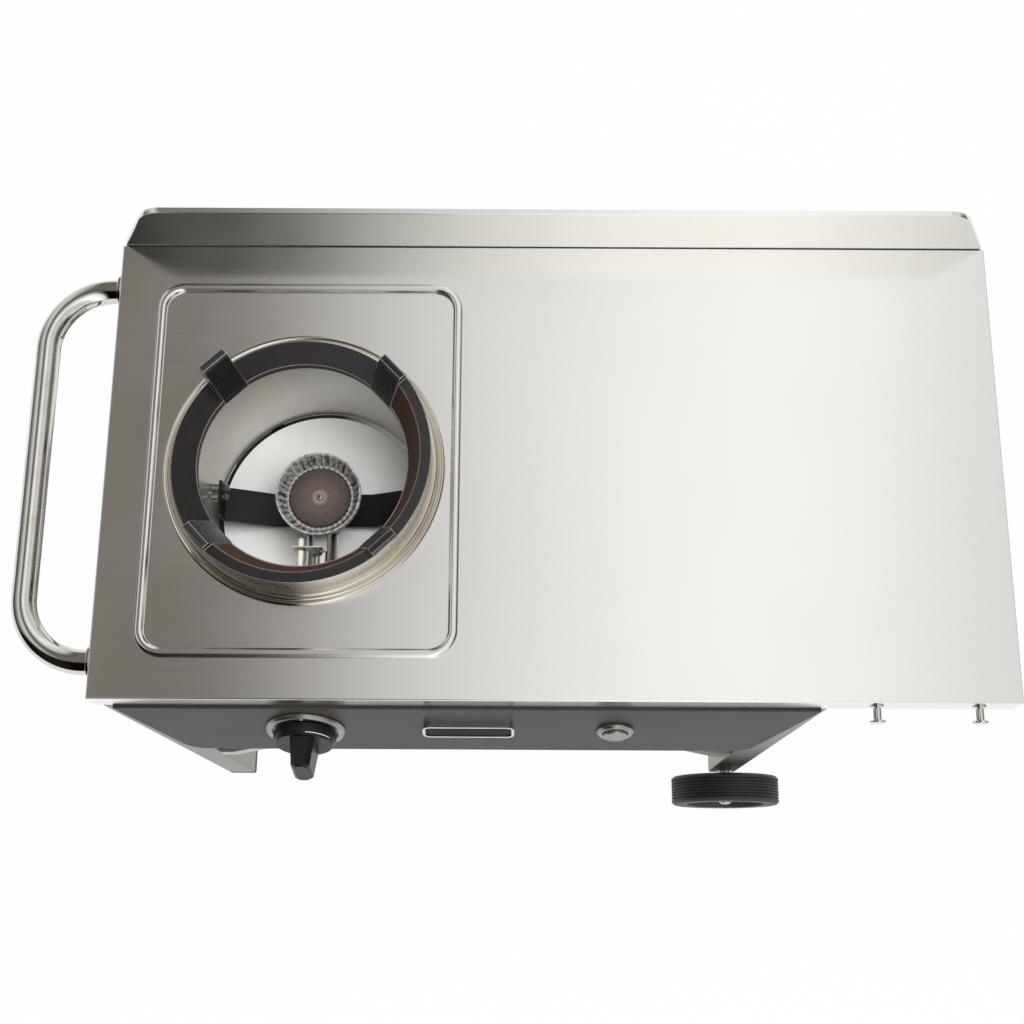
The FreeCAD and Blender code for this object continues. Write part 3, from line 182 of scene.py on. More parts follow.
@dataclass(frozen=True)
class Finish:
    """A finish by its name; each kind of finish paints its own nodes."""

    name: str

    def material(self) -> bpy.types.Material:
        """Give the finish's material, made when it is first asked for.

        Returns:
            The material, which all pieces in this finish share.
        """
        made = bpy.data.materials.get(self.name)
        if made is None:
            made = bpy.data.materials.new(self.name)
            made.use_nodes = True
            tree = made.node_tree
            tree.nodes.clear()
            where = add(tree, "TexCoord").outputs["Object"]
            shader = add(tree, "BsdfPrincipled", self.paint(tree, where))
            add(tree, "OutputMaterial", (shader,))
        return made

    def paint(self, tree: Tree, where: Socket) -> dict:
        """Add the finish's pattern nodes.

        Args:
            tree: Node tree of the material.
            where: Place on the piece.

        Returns:
            What the shader's inputs get.
        """
        raise NotImplementedError


@dataclass(frozen=True)
class BrushedSteel(Finish):
    """Stainless sheet brushed along one axis: long hairlines in the gloss and soft, even reflections."""

    colour: str
    roughness: float
    brushed: Axis
    line_mm: float = 0.7
    line_stretch: float = 140.0
    line_depth_mm: float = 0.02
    line_shade: float = 0.975
    line_gloss: Span = (-0.015, 0.02)
    haze_mm: float = 160.0
    haze_span: Span = (0.35, 0.7)
    haze_gloss: Span = (-0.015, 0.02)

    def paint(self, tree: Tree, where: Socket) -> dict:
        """Lay hairlines over a faint haze; the lines are drawn coarser than real ones so that they show.

        Args:
            tree: Node tree of the material.
            where: Place on the piece.

        Returns:
            What the shader's inputs get.
        """
        stretch = [1.0, 1.0, 1.0]
        stretch[self.brushed.value] = 1 / self.line_stretch
        along = add(tree, "Mapping", {"Vector": where, "Scale": stretch})
        lines = add(tree, "TexNoise", {"Vector": along, "Scale": repeats(self.line_mm), "Detail": 4.0,
                                       "Roughness": 0.65})
        haze = add(tree, "TexNoise", {"Vector": where, "Scale": repeats(self.haze_mm)})
        shade = add(tree, "MapRange", (lines, *NOISE, self.line_shade, 1.0))
        tint = add(tree, "Mix", {"Factor": 1.0, FIRST: linear(self.colour), SECOND: shade}, **SHADED)
        gloss = add(tree, "MapRange", (lines, *NOISE, *around(self.roughness, self.line_gloss)))
        dull = add(tree, "MapRange", (haze, *self.haze_span, *self.haze_gloss))
        total = add(tree, "Math", (gloss, dull), operation="ADD")
        bump = add(tree, "Bump", {"Height": lines, "Distance": self.line_depth_mm * MM, "Strength": 0.1})
        return {"Base Color": tint, "Roughness": total, "Normal": bump, "Metallic": 1.0}


@dataclass(frozen=True)
class SpunSteel(Finish):
    """Sheet steel spun on a lathe: fine rings about the burner axis, dulled by heat, painted shade past a
    radius.
    """

    colour: str
    dulled: str
    roughness: float
    metallic: float = 1.0
    ring_mm: float = 1.6
    ring_depth_mm: float = 0.02
    ring_gloss: Span = (-0.05, 0.06)
    stain_mm: float = 70.0
    stain_span: Span = (0.35, 0.75)
    # Painted shade of the gap round the pan: its colour, the radius where it starts and how softly
    dark_tint: str = "#0b0a0a"
    gap_shade_r_mm: float = 400.0
    gap_shade_edge_mm: float = 0.2
    # How far to the right the painted gap shade thins, and what is left of it there
    gap_shade_end_mm: Span = (15.0, 70.0)
    gap_shade_left: float = 0.3

    def paint(self, tree: Tree, where: Socket) -> dict:
        """Lay turning rings by the distance from the axis, a faint heat tint over them, and the painted gap
        shade.

        Args:
            tree: Node tree of the material.
            where: Place on the piece.

        Returns:
            What the shader's inputs get.
        """
        local, _, reach = about(tree, where, BURNER_AT)
        parts = add(tree, "SeparateXYZ", (local,))
        along = add(tree, "CombineXYZ", (reach, parts.outputs["Z"]))
        rings = add(tree, "TexNoise", {"Vector": along, "Scale": repeats(self.ring_mm), "Detail": 3.0})
        stains = add(tree, "TexNoise", {"Vector": local, "Scale": repeats(self.stain_mm), "Detail": 3.0})
        share = add(tree, "MapRange", (stains, *self.stain_span))
        tint = add(tree, "Mix", {"Factor": share, FIRST: linear(self.colour), SECOND: linear(self.dulled)},
                   **MIXED)
        # Painted shade of the gap round the pan: dark and less metallic past a radius, thinner to the right
        start, end = self.gap_shade_end_mm
        side = add(tree, "MapRange", (parts.outputs["X"], start * MM, end * MM, 1.0, self.gap_shade_left))
        shade_from = self.gap_shade_r_mm
        gap_shade = add(tree, "MapRange", (reach, shade_from * MM, (shade_from + self.gap_shade_edge_mm) * MM))
        gap_shade = add(tree, "Math", (gap_shade, side), operation="MULTIPLY")
        tint = add(tree, "Mix", {"Factor": gap_shade, FIRST: tint, SECOND: linear(self.dark_tint)}, **MIXED)
        metal = add(tree, "MapRange", (gap_shade, 0.0, 1.0, self.metallic, 0.0))
        gloss = add(tree, "MapRange", (rings, *NOISE, *around(self.roughness, self.ring_gloss)))
        bump = add(tree, "Bump", {"Height": rings, "Distance": self.ring_depth_mm * MM, "Strength": 0.25})
        return {"Base Color": tint, "Roughness": gloss, "Normal": bump, "Metallic": metal}


@dataclass(frozen=True)
class PlatedMetal(Finish):
    """Plated, machined or anodised metal: a set gloss with faint handling marks."""

    colour: str
    roughness: float
    metallic: float = 1.0
    mark_mm: float = 22.0
    mark_span: Span = (0.45, 0.8)
    mark_shade: float = 0.84
    dull_span: Span = (0.4, 0.75)
    dull_gloss: Span = (0.0, 0.07)
    ripple_mm: float = 0.0
    ripple_depth_mm: float = 0.05

    def paint(self, tree: Tree, where: Socket) -> dict:
        """Vary the gloss with marks, and ripple the skin where the plating is coarse.

        Args:
            tree: Node tree of the material.
            where: Place on the piece.

        Returns:
            What the shader's inputs get.
        """
        marks = add(tree, "TexNoise", {"Vector": where, "Scale": repeats(self.mark_mm), "Detail": 5.0})
        shade = add(tree, "MapRange", (marks, *self.mark_span, 1.0, self.mark_shade))
        tint = add(tree, "Mix", {"Factor": 1.0, FIRST: linear(self.colour), SECOND: shade}, **SHADED)
        gloss = add(tree, "MapRange", (marks, *self.dull_span, *around(self.roughness, self.dull_gloss)))
        surface = {"Base Color": tint, "Roughness": gloss, "Metallic": self.metallic}
        if self.ripple_mm:
            ripple = add(tree, "TexNoise", {"Vector": where, "Scale": repeats(self.ripple_mm)})
            surface["Normal"] = add(tree, "Bump", {"Height": ripple, "Distance": self.ripple_depth_mm * MM,
                                                   "Strength": 0.4})
        return surface


@dataclass(frozen=True)
class RingIron(Finish):
    """Cast iron under black stove paint: charcoal flange, brown burnt inner wall, wall bare outside."""

    colour: str
    burnt: str
    bare: str
    # Pale metallic tint of the painted highlight along the edges
    edge_highlight: str
    roughness: float = 0.25
    gloss_spread: Span = (-0.04, 0.08)
    burnt_dulls: float = 0.35
    mottle: Span = (0.8, 1.2)
    # The guard wall's foot, its two sides and the flange's inner lip
    wall_low_m: float = 0.7668
    wall_in_r_mm: float = 121.5
    wall_out_r_mm: float = 124.0
    lip_r_mm: float = 106.4
    lip_burnt: float = 0.9
    change_mm: float = 1.0
    sharp_change_mm: float = 0.4
    # The lugs, by the first one's turn and half the angle that each takes
    lugs: float = 4.0
    lug_turn_deg: float = 43.2
    lug_half_deg: float = 9.0
    lug_edge: float = 0.03
    lug_above_mm: float = 8.4
    # How far a face has to look outward to count as the wall's outside
    outward_span: Span = (0.6, 0.8)
    half_edge: float = 0.01
    grit_mm: float = 1.1
    grit_depth_mm: float = 0.08
    grit_relief: float = 0.2
    patch_mm: float = 17.6
    # Rounding of the edges, and how far it turns a face before the edge gets a painted highlight
    edge_mm: float = 1.5
    edge_highlight_span: Span = (0.97, 0.78)
    edge_highlight_share: float = 0.9

    def paint(self, tree: Tree, where: Socket) -> dict:
        """Pick the paint, the burnt iron or the bare iron by the place on the ring, and paint highlights on
        the edges.

        Args:
            tree: Node tree of the material.
            where: Place on the piece.

        Returns:
            What the shader's inputs get.
        """
        local, flat, reach = about(tree, where, BURNER_AT)
        height = add(tree, "SeparateXYZ", (where,)).outputs["Z"]
        grit = add(tree, "TexNoise", {"Vector": where, "Scale": repeats(self.grit_mm), "Detail": 4.0,
                                      "Roughness": 0.7})
        patches = add(tree, "TexNoise", {"Vector": where, "Scale": repeats(self.patch_mm), "Detail": 4.0})
        spoke = add(tree, "VectorMath", (flat,), operation="NORMALIZE")
        face_side = add(tree, "NewGeometry").outputs["True Normal"]
        between = self.between_lugs(tree, local)
        burnt = self.burnt_share(tree, reach, height, between)
        bare = self.bare_share(tree, reach, height, between, spoke, face_side)
        mottle = add(tree, "MapRange", (patches, *NOISE, *self.mottle))
        brown = add(tree, "Mix", {"Factor": 1.0, FIRST: linear(self.burnt), SECOND: mottle}, **SHADED)
        tint = add(tree, "Mix", {"Factor": burnt, FIRST: linear(self.colour), SECOND: brown}, **MIXED)
        tint = add(tree, "Mix", {"Factor": bare, FIRST: tint, SECOND: linear(self.bare)}, **MIXED)
        # Painted highlight: a pale metallic tint where the rounding turns the face; the casting's edges are
        # round
        round_side = add(tree, "Bevel", {"Radius": self.edge_mm * MM}, samples=8)
        agree = add(tree, "VectorMath", (round_side, face_side), operation="DOT_PRODUCT")
        edge_highlight = add(tree, "MapRange", (agree, *self.edge_highlight_span, 0.0, self.edge_highlight_share))
        tint = add(tree, "Mix", {"Factor": edge_highlight, FIRST: tint, SECOND: linear(self.edge_highlight)}, **MIXED)
        metal = add(tree, "Math", (bare, edge_highlight), operation="MAXIMUM")
        gloss = add(tree, "MapRange", (patches, *NOISE, *around(self.roughness, self.gloss_spread)))
        gloss = add(tree, "Math", (burnt, self.burnt_dulls, gloss), operation="MULTIPLY_ADD")
        relief = add(tree, "MapRange", (bare, 0.0, 1.0, self.grit_relief, 0.0))
        bump = add(tree, "Bump", {"Height": grit, "Distance": self.grit_depth_mm * MM, "Strength": relief,
                                  "Normal": round_side})
        return {"Base Color": tint, "Roughness": gloss, "Metallic": metal, "Normal": bump}

    def between_lugs(self, tree: Tree, local: Node) -> Node:
        """Find the stretches of the ring that lie between two lugs.

        Args:
            tree: Node tree of the material.
            local: Place seen from the burner.

        Returns:
            Node that gives 1 between the lugs and 0 at them.
        """
        parts = add(tree, "SeparateXYZ", (local,))
        turn = add(tree, "Math", (parts.outputs["Y"], parts.outputs["X"]), operation="ARCTAN2")
        first = -self.lugs * math.radians(self.lug_turn_deg)
        phase = add(tree, "Math", (turn, self.lugs, first), operation="MULTIPLY_ADD")
        wave = add(tree, "Math", (phase,), operation="COSINE")
        lug_side = math.cos(self.lugs * math.radians(self.lug_half_deg))
        return add(tree, "MapRange", (wave, lug_side - self.lug_edge, lug_side + self.lug_edge, 1.0, 0.0))

    def burnt_share(self, tree: Tree, reach: Node, height: Socket, between: Node) -> Node:
        """Find the iron that the flame has burnt brown: the wall's inside and the flange's lip.

        Args:
            tree: Node tree of the material.
            reach: Distance from the burner's axis.
            height: Height over the floor.
            between: 1 between the lugs.

        Returns:
            Node that gives 1 where the iron is burnt.
        """
        wall = self.wall_in_r_mm
        raised = add(tree, "MapRange", (height, self.wall_low_m, self.wall_low_m + self.change_mm * MM))
        inside = add(tree, "MapRange", (reach, wall * MM, (wall + self.change_mm) * MM, 1.0, 0.0))
        burnt = add(tree, "Math", (raised, inside), operation="MULTIPLY")
        burnt = add(tree, "Math", (burnt, between), operation="MULTIPLY")
        lip_end = self.lip_r_mm + self.sharp_change_mm
        lip = add(tree, "MapRange", (reach, self.lip_r_mm * MM, lip_end * MM, self.lip_burnt, 0.0))
        lip = add(tree, "Math", (lip, between), operation="MULTIPLY")
        return add(tree, "Math", (burnt, lip), operation="MAXIMUM")

    def bare_share(self, tree: Tree, reach: Node, height: Socket, between: Node, spoke: Node,
                   face_side: Socket) -> Node:
        """Find the unpainted outside of the wall, which runs on below the lugs up to its own top.

        Args:
            tree: Node tree of the material.
            reach: Distance from the burner's axis.
            height: Height over the floor.
            between: 1 between the lugs.
            spoke: Direction away from the burner's axis.
            face_side: Direction that the face looks in.

        Returns:
            Node that gives 1 where the iron is bare.
        """
        wall = self.wall_out_r_mm
        outside = add(tree, "MapRange", (reach, wall * MM, (wall + self.change_mm) * MM))
        outward = add(tree, "VectorMath", (face_side, spoke), operation="DOT_PRODUCT")
        outward = add(tree, "MapRange", (outward, *self.outward_span))
        bare = add(tree, "Math", (outward, outside), operation="MULTIPLY")
        # Only the half of the ring a quarter turn before the first lug has the wall
        half = math.radians(self.lug_turn_deg - 90)
        toward = (math.cos(half), math.sin(half), 0)
        facing = add(tree, "VectorMath", (spoke, toward), operation="DOT_PRODUCT")
        walled = add(tree, "MapRange", (facing, 0.0, self.half_edge))
        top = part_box("wok_ring")[1].z - self.lug_above_mm * MM
        below = add(tree, "MapRange", (height, top - self.sharp_change_mm * MM, top, 1.0, 0.0))
        walled = add(tree, "Math", (walled, below), operation="MULTIPLY")
        clear = add(tree, "Math", (walled, between), operation="MAXIMUM")
        return add(tree, "Math", (bare, clear), operation="MULTIPLY")


@dataclass(frozen=True)
class FlutedCasting(Finish):
    """Bare burner casting: pale ridges and sooted flutes that run out from the middle like a daisy."""

    colour: str
    dark_tint: str
    metallic: float = 0.25
    roughness: Span = (0.42, 0.8)
    flutes: float = 36.0
    flute_share: float = 0.16
    streaks_per_radian: float = 9.0
    blotch_mm: float = 5.0
    blotch_depth_mm: float = 0.25
    # Where the sum of streaks and blotches lies, how much it counts, and from where to where soot begins
    uneven_span: Span = (0.8, 1.2)
    uneven: Span = (-0.9, 0.9)
    soot_span: Span = (-0.6, 0.7)
    rim_r_mm: float = 43.6
    rim_mm: float = 0.8
    rim_soot: float = 0.6
    bare_r_mm: float = 35.5
    bare_mm: float = 2.5
    bare_soot: float = 0.25

    def paint(self, tree: Tree, where: Socket) -> dict:
        """Streak the dish by the angle round the burner, soot it in patches and leave the rim barer.

        Args:
            tree: Node tree of the material.
            where: Place on the piece.

        Returns:
            What the shader's inputs get.
        """
        local, flat, reach = about(tree, where, HEAD_AT)
        parts = add(tree, "SeparateXYZ", (local,))
        turn = add(tree, "Math", (parts.outputs["Y"], parts.outputs["X"]), operation="ARCTAN2")
        phase = add(tree, "Math", (turn, self.flutes), operation="MULTIPLY")
        wave = add(tree, "Math", (phase,), operation="COSINE")
        spoke = add(tree, "VectorMath", (flat,), operation="NORMALIZE")
        streaks = add(tree, "TexNoise", {"Vector": spoke, "Scale": self.streaks_per_radian, "Detail": 5.0,
                                         "Roughness": 0.7})
        blotches = add(tree, "TexNoise", {"Vector": local, "Scale": repeats(self.blotch_mm), "Detail": 5.0,
                                          "Roughness": 0.65})
        both = add(tree, "Math", (streaks, blotches), operation="ADD")
        uneven = add(tree, "MapRange", (both, *self.uneven_span, *self.uneven))
        deep = add(tree, "Math", (wave, self.flute_share, uneven), operation="MULTIPLY_ADD")
        share = add(tree, "MapRange", (deep, *self.soot_span))
        rim = self.rim_r_mm
        dish = add(tree, "MapRange", (reach, (rim - self.rim_mm) * MM, rim * MM, 1.0, self.rim_soot))
        share = add(tree, "Math", (share, dish), operation="MULTIPLY")
        bare_end = self.bare_r_mm + self.bare_mm
        bare = add(tree, "MapRange", (reach, self.bare_r_mm * MM, bare_end * MM, self.bare_soot, 1.0))
        share = add(tree, "Math", (share, bare), operation="MULTIPLY")
        tint = add(tree, "Mix", {"Factor": share, FIRST: linear(self.colour), SECOND: linear(self.dark_tint)},
                   **MIXED)
        gloss = add(tree, "MapRange", (share, 0.0, 1.0, *self.roughness))
        bump = add(tree, "Bump", {"Height": blotches, "Distance": self.blotch_depth_mm * MM,
                                  "Strength": 0.4})
        return {"Base Color": tint, "Roughness": gloss, "Normal": bump, "Metallic": self.metallic}


@dataclass(frozen=True)
class HeatedCap(Finish):
    """Cast burner cap browned by heat: mauve-brown middle, darker edge, dry mottled skin."""

    colour: str
    edge: str
    halo: str
    metallic: float = 0.3
    roughness: Span = (0.45, 0.7)
    edge_r_mm: float = 34.0
    edge_from: float = 0.45
    halo_r_mm: float = 10.0
    halo_from: float = 0.5
    halo_share: float = 0.75
    mottle_mm: float = 3.5
    mottle_depth_mm: float = 0.15
    wander_mm: float = 5.0

    def paint(self, tree: Tree, where: Socket) -> dict:
        """Darken towards a ragged edge, leave a pale ring round the screw and mottle all of it.

        Args:
            tree: Node tree of the material.
            where: Place on the piece.

        Returns:
            What the shader's inputs get.
        """
        local, _, reach = about(tree, where, HEAD_AT)
        mottle = add(tree, "TexNoise", {"Vector": local, "Scale": repeats(self.mottle_mm), "Detail": 5.0,
                                        "Roughness": 0.7})
        wander = add(tree, "MapRange", (mottle, *NOISE, -self.wander_mm * MM, self.wander_mm * MM))
        ragged = add(tree, "Math", (reach, wander), operation="ADD")
        edge, halo = self.edge_r_mm, self.halo_r_mm
        share = add(tree, "MapRange", (ragged, edge * self.edge_from * MM, edge * MM))
        tint = add(tree, "Mix", {"Factor": share, FIRST: linear(self.colour), SECOND: linear(self.edge)},
                   **MIXED)
        near = add(tree, "MapRange", (reach, halo * self.halo_from * MM, halo * MM, self.halo_share, 0.0))
        tint = add(tree, "Mix", {"Factor": near, FIRST: tint, SECOND: linear(self.halo)}, **MIXED)
        gloss = add(tree, "MapRange", (mottle, *NOISE, *self.roughness))
        bump = add(tree, "Bump", {"Height": mottle, "Distance": self.mottle_depth_mm * MM, "Strength": 0.4})
        return {"Base Color": tint, "Roughness": gloss, "Normal": bump, "Metallic": self.metallic}


@dataclass(frozen=True)
class Coating(Finish):
    """Paint, enamel or moulded polymer: one colour with a fine skin, slight fading and a set gloss."""

    colour: str
    faded: str
    roughness: float
    skin_mm: float
    skin_depth_mm: float = 0.03
    patch_mm: float = 60.0
    gloss_spread: Span = (-0.04, 0.06)
    coat: float = 0.0
    specular: float = 0.5

    def paint(self, tree: Tree, where: Socket) -> dict:
        """Fade the colour in wide patches and lay the fine skin over it.

        Args:
            tree: Node tree of the material.
            where: Place on the piece.

        Returns:
            What the shader's inputs get.
        """
        patches = add(tree, "TexNoise", {"Vector": where, "Scale": repeats(self.patch_mm), "Detail": 4.0})
        skin = add(tree, "TexNoise", {"Vector": where, "Scale": repeats(self.skin_mm)})
        share = add(tree, "MapRange", (patches, *NOISE))
        tint = add(tree, "Mix", {"Factor": share, FIRST: linear(self.colour), SECOND: linear(self.faded)},
                   **MIXED)
        gloss = add(tree, "MapRange", (patches, *NOISE, *around(self.roughness, self.gloss_spread)))
        bump = add(tree, "Bump", {"Height": skin, "Distance": self.skin_depth_mm * MM, "Strength": 0.5})
        return {"Base Color": tint, "Roughness": gloss, "Normal": bump, "Coat Weight": self.coat,
                "Coat Roughness": 0.15, "Specular IOR Level": self.specular}


# Brushed sheet mirrors the studio softly; the tubes are darker and duller, the shelf lies between
TOP_STEEL = BrushedSteel("brushed_stainless_sheet", "#e9e8e4", 0.17, Axis.X)
LEG_STEEL = BrushedSteel("brushed_stainless_tube", "#847f78", 0.38, Axis.Z)
SHELF_STEEL = BrushedSteel("brushed_stainless_shelf", "#bab6af", 0.36, Axis.X)
# Spun sheet is bright and warm on the collar, greyer in the bowl, and pale and matt on the pan, with painted
# gap shade
COLLAR_STEEL = SpunSteel("spun_stainless_collar", "#d8d3c9", "#c9c0b1", 0.12)
BOWL_STEEL = SpunSteel("spun_stainless_bowl", "#cfcdc7", "#c3bfb6", 0.34, metallic=0.75)
PAN_STEEL = SpunSteel("aluminised_steel_pan", "#f0f0ee", "#e6e5e3", 0.42, metallic=0.15, ring_mm=5.0,
                      gap_shade_r_mm=114.6)
# Chrome is a mirror, zinc greyer with a slight ripple, anodised alloy satin and brass a warm yellow
CHROME = PlatedMetal("polished_chrome", "#dad8d3", 0.04)
CLIP_ZINC = PlatedMetal("dull_zinc_plated_sheet", "#d3d6d6", 0.42, metallic=0.5, mark_mm=8.0)
ZINC = PlatedMetal("zinc_plated_steel", "#c3c5c4", 0.20, mark_mm=6.0, ripple_mm=1.4)
SATIN_ALLOY = PlatedMetal("satin_anodised_aluminium", "#a09e9a", 0.32, mark_mm=9.0)
BRASS = PlatedMetal("machined_brass", "#c9a35a", 0.22, mark_mm=7.0, ripple_mm=0.8)
# Castings are dry and dark: painted, sooted or browned by the flame
RING_IRON = RingIron("stove_painted_cast_iron", "#181717", "#3d2418", "#cdc6bb", "#dcd8d0")
HEAD_IRON = FlutedCasting("sooted_cast_burner", "#b9b8b5", "#262423")
CAP_IRON = HeatedCap("heat_browned_burner_cap", "#645854", "#463b39", "#a59e92")
# Enamel and powder coat are even and low in gloss, the badge's enamel is the deepest black
ENAMEL = Coating("black_stove_enamel", "#0d0d0d", "#141413", 0.45, 2.0)
PANEL_PAINT = Coating("dark_grey_powder_coat", "#4b4744", "#504c49", 0.34, 0.9, specular=0.2)
BADGE_ENAMEL = Coating("gloss_black_badge_enamel", "#050505", "#080808", 0.3, 2.0, specular=0.06)
# Moulded plastic has a soft sheen, rubber is dull, ink is pale and the glazed ceramic shines
KNOB_ABS = Coating("black_moulded_abs", "#101010", "#161616", 0.36, 0.7, specular=0.25)
TYRE_RUBBER = Coating("vulcanised_tyre_rubber", "#34312e", "#3d3a36", 0.55, 1.1, skin_depth_mm=0.06,
                      patch_mm=30.0)
HUB_NYLON = Coating("grey_moulded_nylon", "#67635d", "#5d5953", 0.45, 0.9, patch_mm=24.0)
FOOT_RUBBER = Coating("black_moulded_rubber", "#171716", "#222120", 0.7, 1.0)
# The dark sealant also serves as painted shade in the cap screw's recess and round the clip's screw
SEALANT_AND_SHADE = Coating("dark_sealant_and_painted_shade", "#1f1d1a", "#2a2723", 0.6, 1.5)
MARK_INK = Coating("pale_pad_printed_mark", "#d9d7d1", "#cbc8c1", 0.5, 1.0)
CERAMIC = Coating("glazed_spark_ceramic", "#efece4", "#e2ddd2", 0.18, 3.0, skin_depth_mm=0.02,
                  patch_mm=12.0, coat=0.6)


# Shapes


def stand(point: Vector, axis: Vector = UP, turn_deg: float = 0.0) -> Matrix:
    """Place that stands a shape's Z axis on a point, along an axis and turned about it.

    Args:
        point: Where the shape's origin goes, in metres.
        axis: Direction of the shape's Z axis.
        turn_deg: Turn about that axis.

    Returns:
        The place as a matrix.
    """
    facing = axis.to_track_quat("Z", "Y").to_matrix().to_4x4()
    return Matrix.Translation(point) @ facing @ Matrix.Rotation(math.radians(turn_deg), 4, "Z")


def soften(shape: Shape, width_mm: float, steps: int = 2, limit_deg: float = 30.0) -> None:
    """Round the outer edges of a shape that are sharper than a limit.

    Args:
        shape: Shape with merged vertices.
        width_mm: Width of the rounding.
        steps: Number of faces across it.
        limit_deg: Edges that turn less than this stay as they are.
    """
    limit = math.radians(limit_deg)
    sharp = [edge for edge in shape.edges
             if len(edge.link_faces) == 2 and edge.is_convex and edge.calc_face_angle() > limit]
    bmesh.ops.bevel(shape, geom=sharp, offset=width_mm * MM, affect="EDGES", segments=steps, **ROUND)


def lathe(corners: Corners, place: Matrix, soft_mm: float = 0.0, steps: int = 96) -> Shape:
    """Turn a closed outline once round the Z axis.

    Args:
        corners: Radius and height of each corner, in millimetres.
        place: Where the turned shape goes.
        soft_mm: Rounding of the outline's corners.
        steps: Number of faces round the axis.

    Returns:
        The turned shape.
    """
    shape = bmesh.new()
    points = [shape.verts.new((radius * MM, 0.0, height * MM)) for radius, height in corners]
    for index, point in enumerate(points):
        shape.edges.new((point, points[(index + 1) % len(points)]))
    if soft_mm:
        off_axis = [point for point in points if point.co.x > soft_mm * MM]
        bmesh.ops.bevel(shape, geom=off_axis, offset=soft_mm * MM, affect="VERTICES", segments=3, **ROUND)
    bmesh.ops.spin(shape, geom=shape.verts[:] + shape.edges[:], cent=(0, 0, 0), axis=UP,
                   angle=math.tau, steps=steps, use_merge=True, use_duplicate=False)
    bmesh.ops.remove_doubles(shape, verts=shape.verts[:], dist=MERGE)
    on_axis = [edge for edge in shape.edges if not edge.link_faces]
    bmesh.ops.delete(shape, geom=on_axis, context="EDGES")
    bmesh.ops.recalc_face_normals(shape, faces=shape.faces[:])
    shape.transform(place)
    return shape


def rod(radius_mm: float, length_mm: float, place: Matrix, soft_mm: float = 0.0, sides: int = 32) -> Shape:
    """Round or many-sided rod that stands on its place.

    Args:
        radius_mm: Radius to its corners.
        length_mm: Length along its axis.
        place: Where its foot goes.
        soft_mm: Rounding of its end edges.
        sides: Number of sides.

    Returns:
        The rod.
    """
    shape = bmesh.new()
    radius, length = radius_mm * MM, length_mm * MM
    bmesh.ops.create_cone(shape, cap_ends=True, segments=sides, radius1=radius, radius2=radius, depth=length,
                          matrix=Matrix.Translation((0, 0, length / 2)))
    if soft_mm:
        soften(shape, soft_mm)
    shape.transform(place)
    return shape


def block(sides_mm: Point, place: Matrix) -> Shape:
    """Block about its place.

    Args:
        sides_mm: Its three sides.
        place: Where its middle goes.

    Returns:
        The block.
    """
    shape = bmesh.new()
    bmesh.ops.create_cube(shape, size=1.0, matrix=Matrix.Diagonal((*(Vector(sides_mm) * MM), 1.0)))
    shape.transform(place)
    return shape


def joined(shapes: Iterable[Shape]) -> Shape:
    """Put several shapes into one, side by side.

    Args:
        shapes: Shapes to join, which are freed.

    Returns:
        The joined shape.
    """
    whole = bmesh.new()
    for shape in shapes:
        carried = bpy.data.meshes.new("carried")
        shape.to_mesh(carried)
        shape.free()
        whole.from_mesh(carried)
        bpy.data.meshes.remove(carried)
    return whole


def copied(node: str, soft_mm: float = 0.0) -> Shape:
    """Copy a solid's mesh, merge its loose triangles and round its sharp edges.

    Args:
        node: Name of the solid.
        soft_mm: Rounding of its edges.

    Returns:
        The copy, in the row's frame.
    """
    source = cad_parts[node]
    shape = bmesh.new()
    shape.from_mesh(source.data)
    shape.transform(source.matrix_world)
    bmesh.ops.remove_doubles(shape, verts=shape.verts[:], dist=COPY_MERGE)
    if soft_mm:
        bmesh.ops.dissolve_limit(shape, angle_limit=FLAT, verts=shape.verts[:], edges=shape.edges[:])
        soften(shape, soft_mm)
    return shape


def fit_piece(name: str, shape: Shape, finish: Finish, body: str, stands_for: Sequence[str] = (),
              crease_deg: float = 32.0, sheet: bool = False) -> None:
    """Turn a shape into a dressed piece that rides on a body.

    Args:
        name: Name of the piece.
        shape: Its shape in the row's frame, which is freed.
        finish: Finish of all its faces.
        body: Body that carries it.
        stands_for: Solids that it is shown instead of.
        crease_deg: Edges that turn more than this stay sharp in the shading.
        sheet: Whether faces square to an axis stay flat in the shading, as those of a folded sheet do.
    """
    mesh = bpy.data.meshes.new(name)
    shape.normal_update()
    for face in shape.faces:
        face.smooth = True
    for edge in shape.edges:
        creased = len(edge.link_faces) == 2 and edge.calc_face_angle() > math.radians(crease_deg)
        square = {max(abs(part) for part in face.normal) > SQUARE for face in edge.link_faces}
        edge.smooth = not (creased or (sheet and len(square) == 2))
    shape.to_mesh(mesh)
    shape.free()
    piece = bpy.data.objects.new(name, mesh)
    bpy.context.scene.collection.objects.link(piece)
    if not sheet:
        evened = piece.modifiers.new("evened_normals", "WEIGHTED_NORMAL")
        evened.keep_sharp = True
    mesh.materials.append(finish.material())
    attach(piece, body)
    if stands_for:
        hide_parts(*stands_for)
    LOG.info("%s fitted on %s in %s", name, body, finish.name)


def fit_copy(node: str, finish: Finish, soft_mm: float = 0.0, body: str = "frame",
             sheet: bool = False) -> None:
    """Show a solid as a merged, softened and smoothly shaded copy."""
    fit_piece(f"{node}_finished", copied(node, soft_mm), finish, body, [node], sheet=sheet)


def seat(node: str, axis: Vector) -> Vector:
    """Find the end of a solid that lies farthest back along an axis.

    Args:
        node: Name of the solid.
        axis: Direction away from that end.

    Returns:
        The middle of that end.
    """
    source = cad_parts[node]
    points = [source.matrix_world @ vertex.co for vertex in source.data.vertices]
    back = min(point.dot(axis) for point in points)
    end = [point for point in points if point.dot(axis) < back + TOUCH]
    return Vector([(min(way) + max(way)) / 2 for way in zip(*end)])


# Sub-assemblies


